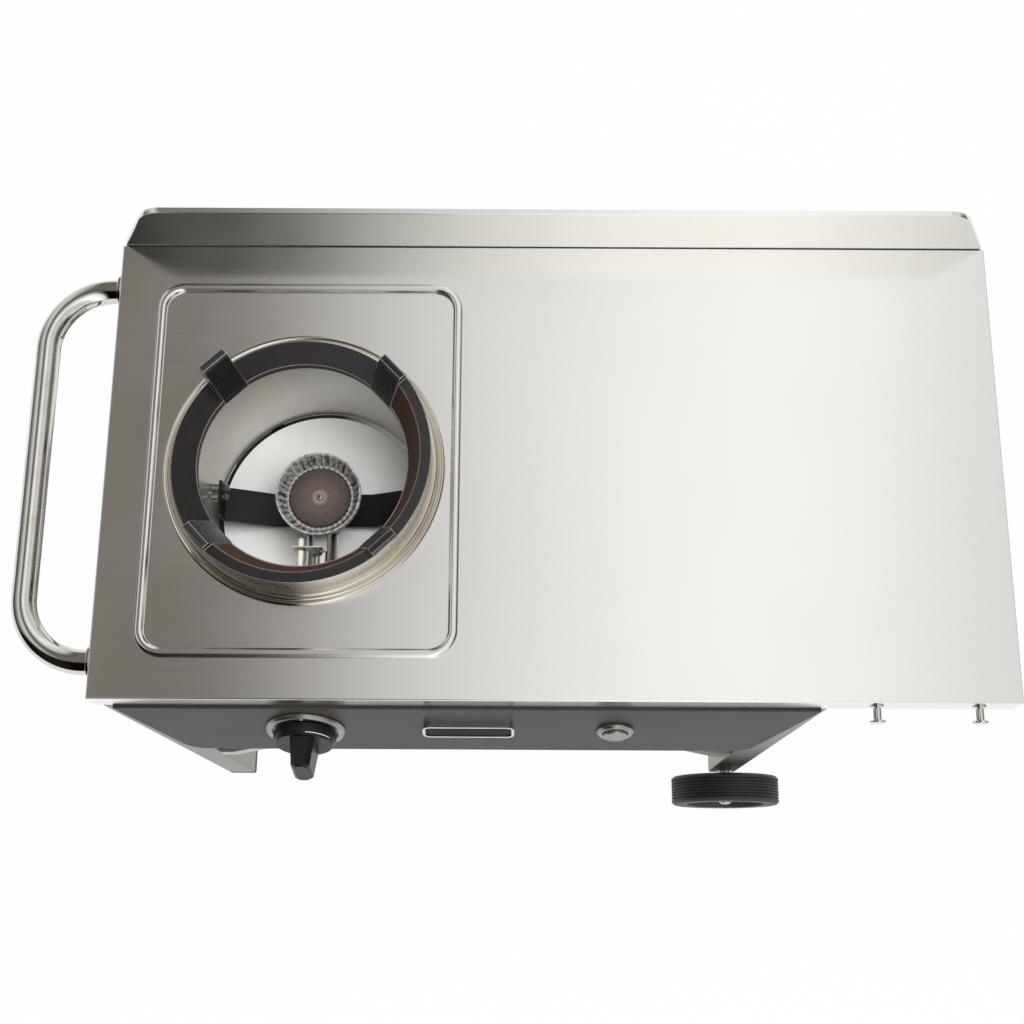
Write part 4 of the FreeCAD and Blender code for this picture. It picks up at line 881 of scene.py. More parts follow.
@dataclass
class TableTop:
    """Folded top, splash, the dark joint between them and the screws behind."""

    rim_mm: float = 0.5
    joint_mm: Point = (904.0, 0.7, 0.6)
    lap_mm: float = 1.2
    screw_count: int = 7
    screw_below_mm: float = 17.0
    screw_r_mm: float = 4.2
    screw_head_mm: float = 1.8
    screw_soft_mm: float = 0.8
    slot_mm: Span = (0.8, 0.3)

    def build(self) -> None:
        """Fit the sheet pieces, the joint and the screws."""
        fit_copy("table_top", TOP_STEEL, sheet=True)
        fit_copy("backsplash", TOP_STEEL, self.rim_mm, sheet=True)
        self.fit_joint()
        self.fit_screws()

    def fit_joint(self) -> None:
        """Lay the dark line of sealant where the splash meets the top."""
        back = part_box("table_top")[1].y - self.joint_mm[1] * MM / 2
        place = Vector((middle("table_top").x, back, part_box("burner_collar")[0].z))
        fit_piece("splash_joint", block(self.joint_mm, stand(place)), SEALANT_AND_SHADE, "frame")

    def fit_screws(self) -> None:
        """Put a row of pan-head screws through the splash's lap."""
        low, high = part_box("backsplash")
        step = (high.x - low.x) / self.screw_count
        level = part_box("table_top")[0].z + self.screw_below_mm * MM
        wide, deep = self.slot_mm
        heads = []
        for index in range(self.screw_count):
            point = Vector((low.x + (index + 0.5) * step, low.y + self.lap_mm * MM, level))
            heads.append(rod(self.screw_r_mm, self.screw_head_mm, stand(point, BACK), self.screw_soft_mm))
            slot_at = stand(point + BACK * self.screw_head_mm * MM, BACK, 45.0)
            heads.append(block((self.screw_r_mm, wide, deep), slot_at))
            heads.append(block((wide, self.screw_r_mm, deep), slot_at))
        fit_piece("splash_screws", joined(heads), ZINC, "frame")


@dataclass
class WokBurner:
    """Collar, cast ring, bowl, strap with its bolts, burner head, mixer tube and spark electrode."""

    collar_outline: Corners = (
        (143.5, 0.0), (143.5, 2.4), (141.6, 4.0), (139.6, 3.4), (138.5, 2.6), (137.0, 4.2), (135.8, 8.2),
        (134.6, 10.0), (126.0, 10.0), (126.0, 8.0), (133.2, 8.0), (134.3, 1.2), (139.6, 1.2), (140.5, 0.0))
    collar_soft_mm: float = 0.8
    collar_crease_deg: float = 50.0
    ring_crease_deg: float = 62.0
    # Studs through the strap's ends, each with a washer, a nut and a spacer
    stud_r_mm: float = 3.0
    stud_end_mm: float = 6.0
    stud_length_mm: float = 26.0
    stud_pitch_mm: float = 10.0
    thread_pitch_mm: float = 1.25
    thread_depth_mm: float = 0.4
    thread_start_mm: float = 0.6
    washer_mm: float = 0.8
    nut_r_mm: float = 4.9
    nut_mm: float = 3.2
    tab_mm: float = 3.0
    spacer_r_mm: float = 4.6
    spacer_mm: float = 10.6
    cap_screw_outline: Corners = ((0.0, 0.0), (4.0, 0.0), (4.0, 1.1), (2.9, 2.2), (0.0, 2.5))
    cap_recess_mm: Point = (3.4, 0.9, 0.5)
    cap_recess_up_mm: float = 2.3
    # The electrode's clip: radius and height of its hole's painted shade and its screw, and the nut on the
    # ceramic
    clip_screw_in_mm: float = 7.5
    clip_hole_shade_mm: Span = (4.4, 0.5)
    clip_screw_mm: Span = (3.2, 1.6)
    ceramic_nut_outline: Corners = ((3.3, 0.0), (5.0, 0.0), (5.0, 2.6), (3.3, 2.6))
    ceramic_r_mm: float = 3.2
    ceramic_length_mm: float = 45.0
    rib_count: int = 5
    rib_pitch_mm: float = 3.0
    rib_depth_mm: float = 0.6
    rib_heights_mm: Point = (0.8, 1.8, 2.6)
    glaze_from_mm: float = 20.0
    ceramic_nose_mm: Span = (1.5, 1.2)
    wire_r_mm: float = 1.0

    def build(self) -> None:
        """Fit everything in and round the burner opening."""
        self.fit_collar()
        fit_piece("wok_ring_cast", copied("wok_ring"), RING_IRON, "wok_ring", ["wok_ring"],
                  self.ring_crease_deg)
        fit_copy("burner_bowl", BOWL_STEEL)
        fit_copy("drip_pan", PAN_STEEL, soft_mm=0.4)
        fit_copy("burner_bracket", ENAMEL, soft_mm=0.5)
        self.fit_fasteners()
        fit_copy("burner_head", HEAD_IRON, soft_mm=0.3)
        fit_copy("burner_cap", CAP_IRON, soft_mm=0.3)
        self.fit_cap_screw()
        fit_copy("burner_tube", CHROME)
        fit_copy("air_shutter", CHROME, soft_mm=0.4)
        self.fit_electrode()
        self.fit_clip()

    def fit_collar(self) -> None:
        """Spin the collar with its rounded foot bead, groove and turned-in rim."""
        base = Vector((BURNER_AT[0], BURNER_AT[1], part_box("burner_collar")[0].z))
        collar = lathe(self.collar_outline, stand(base), self.collar_soft_mm, steps=160)
        fit_piece("burner_collar_spun", collar, COLLAR_STEEL, "frame", ["burner_collar"],
                  self.collar_crease_deg)

    def fit_fasteners(self) -> None:
        """Put a threaded stud, a washer, a hexagon nut and a spacer at each bolt place of the strap."""
        low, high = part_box("burner_bracket")
        bolts = middle("bracket_bolts")
        shapes = []
        for outward, face in ((-RIGHT, low.x), (RIGHT, high.x)):
            for step in (-0.5, 0.5):
                outer = Vector((face, bolts.y + step * self.stud_pitch_mm * MM, bolts.z))
                inner = outer - outward * self.tab_mm * MM
                nut_at = inner - outward * self.washer_mm * MM
                shapes.append(self.stud(inner - outward * self.stud_end_mm * MM, outward))
                shapes.append(rod(self.nut_r_mm, self.washer_mm, stand(inner, -outward), soft_mm=0.2))
                shapes.append(rod(self.nut_r_mm, self.nut_mm, stand(nut_at, -outward), soft_mm=0.5, sides=6))
                shapes.append(rod(self.spacer_r_mm, self.spacer_mm, stand(outer, outward), soft_mm=0.3))
        fit_piece("bracket_fasteners", joined(shapes), ZINC, "frame", ["bracket_bolts"])

    def stud(self, start: Vector, axis: Vector) -> Shape:
        """Turn one threaded stud.

        Args:
            start: Its bare end.
            axis: Direction of its length.

        Returns:
            The stud.
        """
        root = self.stud_r_mm - self.thread_depth_mm
        corners = [(0.0, 0.0), (root - self.thread_depth_mm, 0.0)]
        for index in range(int(self.stud_length_mm / self.thread_pitch_mm)):
            height = self.thread_start_mm + index * self.thread_pitch_mm
            corners += [(root, height), (self.stud_r_mm, height + self.thread_pitch_mm / 2)]
        corners.append((0.0, self.stud_length_mm))
        return lathe(corners, stand(start, axis), steps=24)

    def fit_cap_screw(self) -> None:
        """Put a domed screw in the cap's middle, with dark crossed bars as painted shade of its cross
        recess.
        """
        top = Vector((HEAD_AT[0], HEAD_AT[1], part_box("burner_cap")[1].z))
        head = lathe(self.cap_screw_outline, stand(top), soft_mm=0.3, steps=48)
        fit_piece("cap_screw_head", head, ZINC, "frame", ["cap_screw"])
        # Two dark crossed bars on the dome stand as painted shade of the cross recess
        floor = top + UP * self.cap_recess_up_mm * MM
        recess_shade = [block(self.cap_recess_mm, stand(floor, UP, turn)) for turn in (45.0, 135.0)]
        fit_piece("cap_screw_recess_shade", joined(recess_shade), SEALANT_AND_SHADE, "frame")

    def fit_electrode(self) -> None:
        """Turn the ribbed ceramic and its wire tip."""
        low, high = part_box("electrode")
        start = Vector(((low.x + high.x) / 2, low.y, (low.z + high.z) / 2))
        radius, length = self.ceramic_r_mm, self.ceramic_length_mm
        root = radius - self.rib_depth_mm
        rise, fall, foot = self.rib_heights_mm
        corners = [(0.0, 0.0), (root, 0.0)]
        for index in range(1, self.rib_count + 1):
            height = index * self.rib_pitch_mm
            corners += [(root, height), (radius, height + rise), (radius, height + fall),
                        (root, height + foot)]
        along, inward = self.ceramic_nose_mm
        corners += [(radius, self.glaze_from_mm), (radius, length - along), (radius - inward, length),
                    (0.0, length)]
        ceramic = lathe(corners, stand(start, BACK), soft_mm=0.3, steps=32)
        fit_piece("spark_ceramic", ceramic, CERAMIC, "frame", ["electrode"])
        tip = start + BACK * length * MM
        wire = rod(self.wire_r_mm, (high.y - tip.y) / MM, stand(tip, BACK), soft_mm=0.3, sides=16)
        fit_piece("spark_wire", wire, ZINC, "frame")

    def fit_clip(self) -> None:
        """Dress the electrode's clip, add painted shade round its screw, put the screw and the ceramic's nut
        on the front.
        """
        fit_copy("electrode_bracket", CLIP_ZINC, soft_mm=0.2)
        low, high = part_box("electrode_bracket")
        ceramic = middle("electrode")
        screw_at = stand(Vector((high.x - self.clip_screw_in_mm * MM, low.y, ceramic.z)), -BACK)
        # A dark disc under the screw is painted shade of its hole
        rim = rod(*self.clip_hole_shade_mm, screw_at, soft_mm=0.15)
        fit_piece("clip_hole_shade", rim, SEALANT_AND_SHADE, "frame")
        screw = rod(*self.clip_screw_mm, screw_at, soft_mm=0.5, sides=24)
        fit_piece("clip_screw", screw, ZINC, "frame")
        nut_at = stand(Vector((ceramic.x, low.y, ceramic.z)), -BACK)
        nut = lathe(self.ceramic_nut_outline, nut_at, soft_mm=0.4, steps=6)
        fit_piece("ceramic_nut", nut, BRASS, "frame")


@dataclass
class ControlPanel:
    """Tilted panel with its bare plate, the knob with its bezel and the igniter."""

    tilt_deg: float = 15.0
    edge_mm: float = 1.0
    badge_face_mm: Point = (88.4, 21.4, 0.6)
    badge_corner_mm: float = 5.5
    badge_rise_mm: float = 4.7
    # Outlines by the radius and the height over the panel's face
    bezel_outline: Corners = (
        (10.0, 0.0), (41.0, 0.0), (41.0, 2.4), (39.4, 5.0), (38.2, 5.8), (33.4, 5.8), (33.4, 2.5),
        (10.0, 2.5))
    ring_outline: Corners = (
        (12.7, -18.0), (15.0, -18.0), (15.0, 0.0), (19.2, 0.0), (19.2, 3.0), (16.6, 5.5), (14.0, 5.5),
        (12.7, 4.2))
    button_outline: Corners = (
        (0.0, -26.0), (5.0, -26.0), (5.0, -8.0), (12.4, -8.0), (12.4, 7.2), (11.0, 8.5), (8.0, 8.1),
        (0.0, 7.6))
    turned_crease_deg: float = 45.0
    barrel_mm: float = 18.0
    dot_mm: Span = (1.5, 0.5)
    dot_at_mm: Point = (0.0, 36.2, 5.6)
    knob_edge_mm: float = 1.6
    skirt_top_mm: float = 18.5
    grip_from_mm: float = 0.1
    grip_scale: Point = (0.84, 1.0, 0.82)
    tip_from_mm: float = 12.0
    tip_scale: Point = (1.17, 1.0, 1.0)
    # A plain arc printed on the skirt: its place, its thickness and where it starts and ends
    arc_at_mm: Span = (30.2, -2.6)
    arc_r_mm: float = 0.5
    arc_deg: Span = (8.0, 62.0)

    def build(self) -> None:
        """Fit the panel and what is on it."""
        fit_copy("control_panel", PANEL_PAINT, self.edge_mm)
        fit_copy("badge_plate", CHROME)
        self.fit_badge_face()
        self.fit_bezels()
        self.fit_knob()
        self.fit_button()
        fit_copy("igniter_module", KNOB_ABS, soft_mm=0.6)

    def outward(self) -> Vector:
        """Direction out of the panel's face."""
        tilt = math.radians(self.tilt_deg)
        return Vector((0.0, -math.cos(tilt), math.sin(tilt)))

    def knob_place(self) -> Matrix:
        """Place on the panel's face at the knob's axis."""
        return stand(seat("knob_bezel", self.outward()), self.outward())

    def igniter_place(self) -> Matrix:
        """Place on the panel's face at the igniter's axis."""
        end = seat("igniter_bezel", self.outward())
        return stand(end + self.outward() * self.barrel_mm * MM, self.outward())

    def fit_badge_face(self) -> None:
        """Lay the bare dark field of the plate."""
        floor = seat("badge_plate", self.outward()) + self.outward() * self.badge_rise_mm * MM
        field = block(self.badge_face_mm, stand(floor, self.outward()))
        thickness = self.badge_face_mm[2] * MM
        upright = [edge for edge in field.edges if abs(edge.calc_length() - thickness) < TOUCH]
        bmesh.ops.bevel(field, geom=upright, offset=self.badge_corner_mm * MM, affect="EDGES", segments=6,
                        **ROUND)
        fit_piece("badge_field", field, BADGE_ENAMEL, "frame")

    def fit_bezels(self) -> None:
        """Turn the knob's broad bezel with its index dot, and the igniter's ring."""
        dish = lathe(self.bezel_outline, self.knob_place(), soft_mm=0.7, steps=128)
        fit_piece("knob_bezel_turned", dish, SATIN_ALLOY, "frame", ["knob_bezel"],
                  self.turned_crease_deg)
        spot = self.knob_place() @ Matrix.Translation(Vector(self.dot_at_mm) * MM)
        dot = rod(*self.dot_mm, spot, soft_mm=0.1, sides=24)
        fit_piece("bezel_index_dot", dot, MARK_INK, "frame")
        ring = lathe(self.ring_outline, self.igniter_place(), soft_mm=0.7)
        fit_piece("igniter_bezel_turned", ring, SATIN_ALLOY, "frame", ["igniter_bezel"],
                  self.turned_crease_deg)

    def fit_knob(self) -> None:
        """Soften the knob, slim its grip as in the photograph and print a plain arc on its skirt."""
        knob = copied("control_knob", self.knob_edge_mm)
        skirt = self.knob_place() @ Matrix.Translation((0.0, 0.0, self.skirt_top_mm * MM))
        to_skirt = skirt.inverted()
        grip = [vertex for vertex in knob.verts if (to_skirt @ vertex.co).z > self.grip_from_mm * MM]
        bmesh.ops.scale(knob, vec=self.grip_scale, space=to_skirt, verts=grip)
        tip = [vertex for vertex in grip if (to_skirt @ vertex.co).z > self.tip_from_mm * MM]
        bmesh.ops.scale(knob, vec=self.tip_scale, space=to_skirt, verts=tip)
        fit_piece("control_knob_moulded", knob, KNOB_ABS, "knob", ["control_knob"])
        start, end = [math.radians(turn) for turn in self.arc_deg]
        out, up = self.arc_at_mm
        arc = bmesh.new()
        begin = Matrix.Translation((0.0, out * MM, 0.0)) @ stand(Vector(), RIGHT)
        bmesh.ops.create_circle(arc, cap_ends=True, segments=8, radius=self.arc_r_mm * MM, matrix=begin)
        bmesh.ops.spin(arc, geom=arc.faces[:], cent=(0, 0, 0), axis=-UP, angle=end - start, steps=24)
        bmesh.ops.recalc_face_normals(arc, faces=arc.faces[:])
        arc.transform(skirt @ Matrix.Translation((0.0, 0.0, up * MM)) @ Matrix.Rotation(-start, 4, "Z"))
        fit_piece("knob_arc", arc, MARK_INK, "knob")

    def fit_button(self) -> None:
        """Turn the push button with a shallow dish for the finger."""
        button = lathe(self.button_outline, self.igniter_place(), soft_mm=0.6)
        fit_piece("igniter_button_turned", button, SATIN_ALLOY, "igniter",
                  ["igniter_button"], self.turned_crease_deg)


@dataclass
class GasLine:
    """Valve, stem, pipe and the flare fitting behind the panel."""

    nut_r_mm: float = 10.5
    pipe_nut_mm: float = 11.0
    inlet_nut_mm: float = 12.0
    thread_pitch_mm: float = 1.6
    thread_turns: int = 9
    thread_from_mm: float = 13.0
    thread_r_mm: Span = (7.0, 7.94)
    cone_outline: Corners = ((7.6, 28.0), (5.0, 33.0), (0.0, 33.0))

    def build(self) -> None:
        """Fit the brass pieces and the threads."""
        fit_copy("valve_body", BRASS, soft_mm=0.4)
        fit_copy("valve_stem", BRASS, soft_mm=0.3, body="knob")
        fit_copy("spring_cup", ZINC, soft_mm=0.3, body="knob_push")
        fit_copy("gas_pipe", BRASS)
        self.fit_nut()
        self.fit_inlet()

    def left_end(self, node: str) -> Matrix:
        """Place on the left end of a piece, pointing right."""
        return stand(Vector((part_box(node)[0].x, *middle(node).yz)), RIGHT)

    def fit_nut(self) -> None:
        """Put a compression nut on the pipe at the valve."""
        nut = rod(self.nut_r_mm, self.pipe_nut_mm, self.left_end("gas_pipe"), soft_mm=0.7, sides=6)
        fit_piece("pipe_nut", nut, BRASS, "frame")

    def fit_inlet(self) -> None:
        """Turn the flare fitting: hexagon, threaded barrel and cone."""
        start = self.left_end("gas_inlet")
        root, crest = self.thread_r_mm
        hexagon = rod(self.nut_r_mm, self.inlet_nut_mm, start, soft_mm=0.7, sides=6)
        corners = [(0.0, self.inlet_nut_mm), (root, self.inlet_nut_mm)]
        for index in range(self.thread_turns):
            height = self.thread_from_mm + index * self.thread_pitch_mm
            corners += [(root, height), (crest, height + self.thread_pitch_mm / 2)]
        barrel = lathe([*corners, *self.cone_outline], start, steps=48)
        fit_piece("flare_inlet", joined([hexagon, barrel]), BRASS, "frame", ["gas_inlet"])


@dataclass
class Base:
    """Legs, rails, shelf, feet and the bolts that hold them."""

    rail_edge_mm: float = 1.0
    foot_edge_mm: float = 1.0
    bolt_mm: Span = (5.5, 2.6)
    bolt_soft_mm: float = 1.0

    def build(self) -> None:
        """Fit the base's pieces."""
        for side in SIDES:
            for end in ENDS:
                fit_copy(f"{end}_{side}_leg", LEG_STEEL)
            fit_copy(f"{side}_rail", LEG_STEEL, self.rail_edge_mm)
        for end in ENDS:
            fit_copy(f"{end}_rail", LEG_STEEL, self.rail_edge_mm)
            fit_copy(f"{end}_left_foot", FOOT_RUBBER, self.foot_edge_mm)
        fit_copy("lower_shelf", SHELF_STEEL, sheet=True)
        self.fit_bolts()

    def fit_bolts(self) -> None:
        """Put button-head bolts through the legs at the shelf, and on the right at the rails too."""
        shelf = middle("lower_shelf").z
        places = []
        for side in SIDES:
            leg = middle(f"rear_{side}_leg")
            places.append(stand(Vector((leg.x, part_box(f"rear_{side}_leg")[1].y, shelf)), BACK))
        rails = middle("left_rail").z
        for side, outward, levels in (("left", -RIGHT, [shelf]), ("right", RIGHT, [shelf, rails])):
            for end in ENDS:
                low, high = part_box(f"{end}_{side}_leg")
                face = low.x if side == "left" else high.x
                places += [stand(Vector((face, (low.y + high.y) / 2, level)), outward) for level in levels]
        heads = [rod(*self.bolt_mm, place, self.bolt_soft_mm) for place in places]
        fit_piece("leg_bolts", joined(heads), ZINC, "frame")


@dataclass
class SideHandle:
    """Bent chromed tube and the flanges that hold it on the left skirt."""

    tube_r_mm: float = 12.69
    tube_sides: int = 48
    tube_crease_deg: float = 60.0
    bend_r_mm: float = 66.0
    bend_steps: int = 24
    flange_r_mm: Span = (12.89, 18.0)
    flange_mm: float = 4.0
    flange_soft_mm: float = 0.9
    flange_crease_deg: float = 45.0

    def build(self) -> None:
        """Fit the tube and its flanges."""
        fit_piece("side_handle_tube", self.tube(), CHROME, "frame", ["side_handle"],
                  self.tube_crease_deg)
        for end in ("front", "back"):
            self.fit_flange(end)

    def tube(self) -> Shape:
        """Draw the tube along its route: stub, bend, bar, bend, stub.

        Returns:
            The tube with closed ends.
        """
        low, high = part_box("side_handle")
        radius = self.tube_r_mm * MM
        bend = self.bend_r_mm * MM
        stub = high.x - low.x - radius - bend
        bar = high.y - low.y - 2 * radius - 2 * bend
        start = Vector((high.x, low.y + radius, (low.z + high.z) / 2))
        shape = bmesh.new()
        bmesh.ops.create_circle(shape, segments=self.tube_sides, radius=radius, matrix=stand(start, -RIGHT))
        mouth = shape.edges[:]
        end = self.run(shape, mouth, -RIGHT * stub)
        centre = start - RIGHT * stub + BACK * bend
        end = self.bend(shape, end, centre)
        end = self.run(shape, end, BACK * bar)
        end = self.bend(shape, end, centre + BACK * bar)
        end = self.run(shape, end, RIGHT * stub)
        bmesh.ops.holes_fill(shape, edges=mouth + end)
        bmesh.ops.recalc_face_normals(shape, faces=shape.faces[:])
        return shape

    def run(self, shape: Shape, mouth: list, way: Vector) -> list:
        """Draw the tube straight on from its mouth.

        Args:
            shape: The tube so far.
            mouth: Edges of its open end.
            way: How far and in which direction it goes on.

        Returns:
            Edges of the new open end.
        """
        drawn = bmesh.ops.extrude_edge_only(shape, edges=mouth)["geom"]
        points = [part for part in drawn if isinstance(part, bmesh.types.BMVert)]
        bmesh.ops.translate(shape, vec=way, verts=points)
        return [part for part in drawn if isinstance(part, bmesh.types.BMEdge)]

    def bend(self, shape: Shape, mouth: list, centre: Vector) -> list:
        """Bend the tube a quarter turn.

        Args:
            shape: The tube so far.
            mouth: Edges of its open end.
            centre: Point that the bend goes round.

        Returns:
            Edges of the new open end.
        """
        drawn = bmesh.ops.spin(shape, geom=mouth, cent=centre, axis=-UP, angle=math.pi / 2,
                               steps=self.bend_steps)["geom_last"]
        return [part for part in drawn if isinstance(part, bmesh.types.BMEdge)]

    def fit_flange(self, end: str) -> None:
        """Turn one flange with a rounded rim.

        Args:
            end: Which end of the handle it holds.
        """
        node = f"handle_flange_{end}"
        inner, outer = self.flange_r_mm
        foot = stand(Vector((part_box(node)[1].x, *middle(node).yz)), -RIGHT)
        outline = [(inner, 0.0), (outer, 0.0), (outer, self.flange_mm), (inner, self.flange_mm)]
        flange = lathe(outline, foot, self.flange_soft_mm, steps=64)
        fit_piece(f"{node}_turned", flange, CHROME, "frame", [node], self.flange_crease_deg)


@dataclass
class ToolPegs:
    """Two headed chrome pegs on the front skirt."""

    outline: Corners = (
        (0.0, 0.0), (7.0, 0.0), (7.0, 1.4), (4.0, 2.2), (4.0, 14.0), (7.2, 14.5), (8.0, 15.2), (8.0, 16.6),
        (6.6, 17.5), (0.0, 17.5))
    soft_mm: float = 0.7
    crease_deg: float = 50.0

    def build(self) -> None:
        """Turn both pegs."""
        for side in SIDES:
            node = f"tool_peg_{side}"
            place = middle(node)
            foot = stand(Vector((place.x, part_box(node)[1].y, place.z)), -BACK)
            peg = lathe(self.outline, foot, self.soft_mm, steps=48)
            fit_piece(f"{node}_turned", peg, CHROME, "frame", [node], self.crease_deg)


@dataclass
class Wheel:
    """One ribbed tyre on its moulded hub, with the axle's nut."""

    end: str
    radius_mm: float = 75.0
    width_mm: float = 38.0
    bead_r_mm: float = 59.0
    rib_count: int = 8
    groove_mm: float = 2.2
    groove_floor_mm: float = 0.88
    groove_depth_mm: float = 2.0
    shoulder_mm: float = 3.0
    tyre_soft_mm: float = 0.35
    tyre_crease_deg: float = 50.0
    # Radius and height of the washer and of the nut's hexagon, and the nut's dome
    washer_mm: Span = (12.0, 1.4)
    hexagon_mm: Span = (10.0, 5.0)
    dome_outline: Corners = ((0.0, 5.5), (7.6, 5.5), (7.2, 7.2), (5.0, 8.6), (0.0, 9.0))

    def build(self) -> None:
        """Fit the tyre, the hub and the nut."""
        body = f"{self.end}_wheel"
        fit_piece(f"{self.end}_tyre_ribbed", self.tyre(), TYRE_RUBBER, body,
                  [f"{self.end}_tyre"], self.tyre_crease_deg)
        fit_copy(f"{self.end}_hub", HUB_NYLON, soft_mm=0.8, body=body)
        self.fit_nut()
        fit_copy(f"axle_spacer_{self.end}", ZINC, soft_mm=0.4)

    def tyre(self) -> Shape:
        """Turn the tyre with rounded ribs.

        Returns:
            The tyre.
        """
        node = f"{self.end}_tyre"
        place = middle(node)
        foot = stand(Vector((place.x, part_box(node)[0].y, place.z)), BACK)
        tread, wall = self.radius_mm, self.radius_mm - self.shoulder_mm
        root = self.radius_mm - self.groove_depth_mm
        far = self.width_mm - self.shoulder_mm
        half, floor = self.groove_mm / 2, self.groove_floor_mm / 2
        corners = [(self.bead_r_mm, 0.0), (wall, 0.0), (tread, self.shoulder_mm)]
        for index in range(1, self.rib_count):
            groove = self.shoulder_mm + (far - self.shoulder_mm) * index / self.rib_count
            corners += [(tread, groove - half), (root, groove - floor), (root, groove + floor),
                        (tread, groove + half)]
        corners += [(tread, far), (wall, self.width_mm), (self.bead_r_mm, self.width_mm)]
        return lathe(corners, foot, self.tyre_soft_mm, steps=128)

    def fit_nut(self) -> None:
        """Put a washer and a domed hexagon nut on the axle's end."""
        node = f"axle_cap_{self.end}"
        low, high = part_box(node)
        place = middle(node)
        inner, outward = (high.y, -BACK) if self.end == "front" else (low.y, BACK)
        foot = Vector((place.x, inner, place.z))
        washer = rod(*self.washer_mm, stand(foot, outward), soft_mm=0.3, sides=48)
        nut_at = stand(foot + outward * self.washer_mm[1] * MM, outward)
        hexagon = rod(*self.hexagon_mm, nut_at, soft_mm=0.7, sides=6)
        dome = lathe(self.dome_outline, stand(foot, outward), soft_mm=0.5, steps=32)
        nut = joined([washer, hexagon, dome])
        fit_piece(f"axle_nut_{self.end}", nut, ZINC, "frame", [node])


# Studio


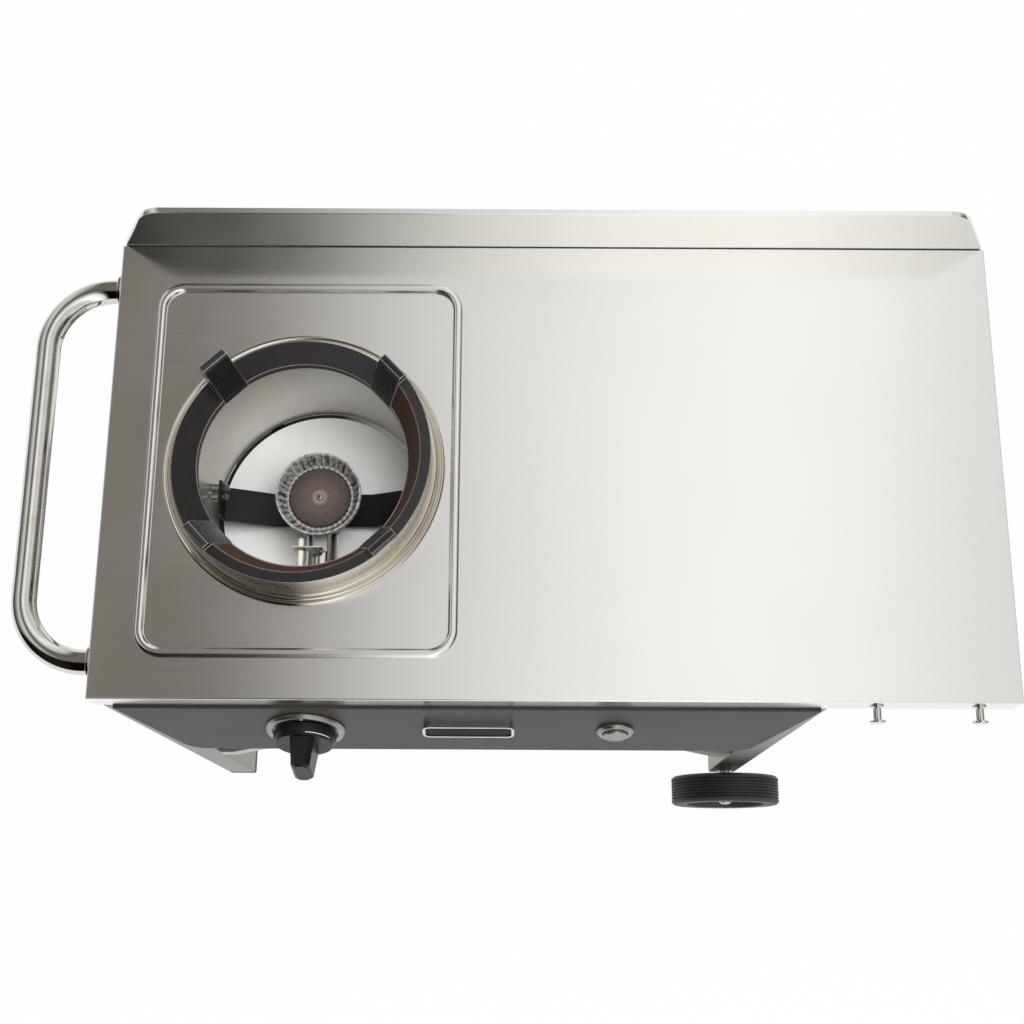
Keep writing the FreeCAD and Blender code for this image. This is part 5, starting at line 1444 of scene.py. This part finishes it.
@dataclass
class Studio:
    """Pale floor, soft light and the camera at the photograph's angle."""

    image_px: int = 1024
    focal_px: float = 1454.0
    centre_px: float = 514.2
    sensor_mm: float = 36.0
    camera_at: Point = (0.00555, -0.433229, 2.161)
    pitch_deg: float = 15.705
    yaw_deg: float = 0.24
    roll_deg: float = 0.06
    floor_half: float = 12.0
    floor_colour: str = "#ececea"
    white_share: float = 0.98
    # Where a direction points to the right, and how bright the studio is there
    glow: Corners = (
        (-1.0, 0.05), (-0.87, 0.3), (-0.65, 0.8), (-0.48, 0.7), (-0.36, 0.2), (-0.26, 0.2), (-0.21, 0.13),
        (-0.18, 0.22), (-0.145, 0.4), (-0.08, 0.78), (-0.03, 0.84), (0.03, 0.98), (0.1, 1.12), (0.16, 1.18),
        (0.23, 1.14), (0.3, 0.86), (0.45, 0.75), (0.7, 0.85), (0.85, 0.3), (1.0, 0.05))
    # The dim parts of the room are a little warm: what red, green and blue lose in the darkest of them
    neutral_from: float = 0.62
    warm_losses: Point = (0.0, 0.14, 0.27)
    # In front of the table the room turns from dark to bright more steeply, and fades farther right
    front_span: Span = (-0.25, -0.08)
    steep_span: Span = (-0.16, -0.05)
    steep_levels: Span = (0.02, 1.35)
    fade_span: Span = (0.1, 0.3)
    fade_to: float = 0.8
    lamp_at: Point = (0.1, -0.05, 1.65)
    lamp_size: float = 0.5
    lamp_power: float = 11.0

    def build(self) -> None:
        """Set up the whole studio and show colours as they are written."""
        self.place_camera()
        self.lay_floor()
        self.light()
        self.hang_lamp()
        bpy.context.scene.view_settings.view_transform = "Standard"

    def place_camera(self) -> None:
        """Set the camera where the photograph was taken from."""
        data = bpy.data.cameras.new("photo_camera")
        data.sensor_width = self.sensor_mm
        data.lens = self.focal_px / self.image_px * self.sensor_mm
        data.shift_x = (self.image_px / 2 - self.centre_px) / self.image_px
        camera = bpy.data.objects.new("photo_camera", data)
        turn = Matrix.Rotation(math.radians(self.yaw_deg), 4, "Z")
        turn = turn @ Matrix.Rotation(math.radians(self.pitch_deg), 4, "X")
        turn = turn @ Matrix.Rotation(math.radians(self.roll_deg), 4, "Z")
        camera.matrix_world = Matrix.Translation(self.camera_at) @ turn
        bpy.context.scene.collection.objects.link(camera)
        bpy.context.scene.camera = camera

    def lay_floor(self) -> None:
        """Lay the pale floor, which looks white to the camera and still takes the shadow."""
        shape = bmesh.new()
        bmesh.ops.create_grid(shape, x_segments=1, y_segments=1, size=self.floor_half)
        mesh = bpy.data.meshes.new("studio_floor")
        shape.to_mesh(mesh)
        shape.free()
        floor = bpy.data.objects.new("studio_floor", mesh)
        bpy.context.scene.collection.objects.link(floor)
        surface = bpy.data.materials.new("pale_studio_floor")
        surface.use_nodes = True
        tree = surface.node_tree
        tree.nodes.clear()
        # White for rays that show the background: straight, by a reflection or through glass
        rays = add(tree, "LightPath").outputs
        seen = add(tree, "Math", (rays["Is Camera Ray"], rays["Is Glossy Ray"]), operation="MAXIMUM")
        seen = add(tree, "Math", (seen, rays["Is Transmission Ray"]), operation="MAXIMUM")
        share = add(tree, "Math", (seen, self.white_share), operation="MULTIPLY")
        matt = add(tree, "BsdfDiffuse", {"Color": linear(self.floor_colour)})
        white = add(tree, "Emission", {"Color": WHITE, "Strength": 1.0})
        both = add(tree, "MixShader", (share, matt, white))
        add(tree, "OutputMaterial", (both,))
        mesh.materials.append(surface)

    def light(self) -> None:
        """Light the table evenly from above, with a dark left side and a bright right one to reflect."""
        world = bpy.data.worlds.new("studio_world")
        bpy.context.scene.world = world
        world.use_nodes = True
        tree = world.node_tree
        tree.nodes.clear()
        way = add(tree, "SeparateXYZ", (add(tree, "TexCoord").outputs["Generated"],)).outputs
        place = add(tree, "MapRange", (way["X"], -1.0, 1.0))
        bands = add(tree, "ValToRGB", (place,))
        stops = bands.color_ramp.elements
        while len(stops) < len(self.glow):
            stops.new(0.5)
        top = max(level for _, level in self.glow)
        for stop, (rightward, level) in zip(stops, self.glow):
            stop.position = (rightward + 1) / 2
            warm = max(0.0, 1 - level / self.neutral_from)
            stop.color = (*[level / top * (1 - warm * loss) for loss in self.warm_losses], 1.0)
        steep = add(tree, "MapRange", (way["X"], *self.steep_span, *self.steep_levels))
        fading = add(tree, "MapRange", (way["X"], *self.fade_span, 1.0, self.fade_to))
        steep = add(tree, "Math", (steep, fading), operation="MULTIPLY")
        ahead = add(tree, "MapRange", (way["Y"], *self.front_span, 1.0, 0.0))
        share = add(tree, "Mix", {"Factor": ahead, "A": 1.0, "B": steep}, data_type="FLOAT")
        strength = add(tree, "Math", (share, top), operation="MULTIPLY")
        straight = add(tree, "LightPath").outputs["Is Camera Ray"]
        level = add(tree, "Mix", {"Factor": straight, "A": strength, "B": 1.0}, data_type="FLOAT")
        tone = add(tree, "Mix", {"Factor": straight, FIRST: bands, SECOND: WHITE}, **MIXED)
        back = add(tree, "Background", (tone, level))
        add(tree, "OutputWorld", (back,))

    def hang_lamp(self) -> None:
        """Hang a soft lamp over the burner that lights the bowl's depth and casts no glare on the steel."""
        data = bpy.data.lights.new("burner_lamp", "AREA")
        data.size = self.lamp_size
        data.energy = self.lamp_power
        lamp = bpy.data.objects.new("burner_lamp", data)
        lamp.location = self.lamp_at
        lamp.visible_glossy = False
        bpy.context.scene.collection.objects.link(lamp)


def dress_axle() -> None:
    """Give the plain axle its finish."""
    fit_copy("axle", ZINC, soft_mm=0.3)


def main() -> None:
    """Build the studio and every sub-assembly."""
    logging.basicConfig(level=logging.INFO, format="%(name)s: %(message)s")
    assemblies = [Studio(), TableTop(), WokBurner(), ControlPanel(), GasLine(), Base(), SideHandle(),
                  ToolPegs(), *[Wheel(end) for end in ENDS]]
    for assembly in assemblies:
        assembly.build()
    dress_axle()


if __name__ == "__main__":
    main()
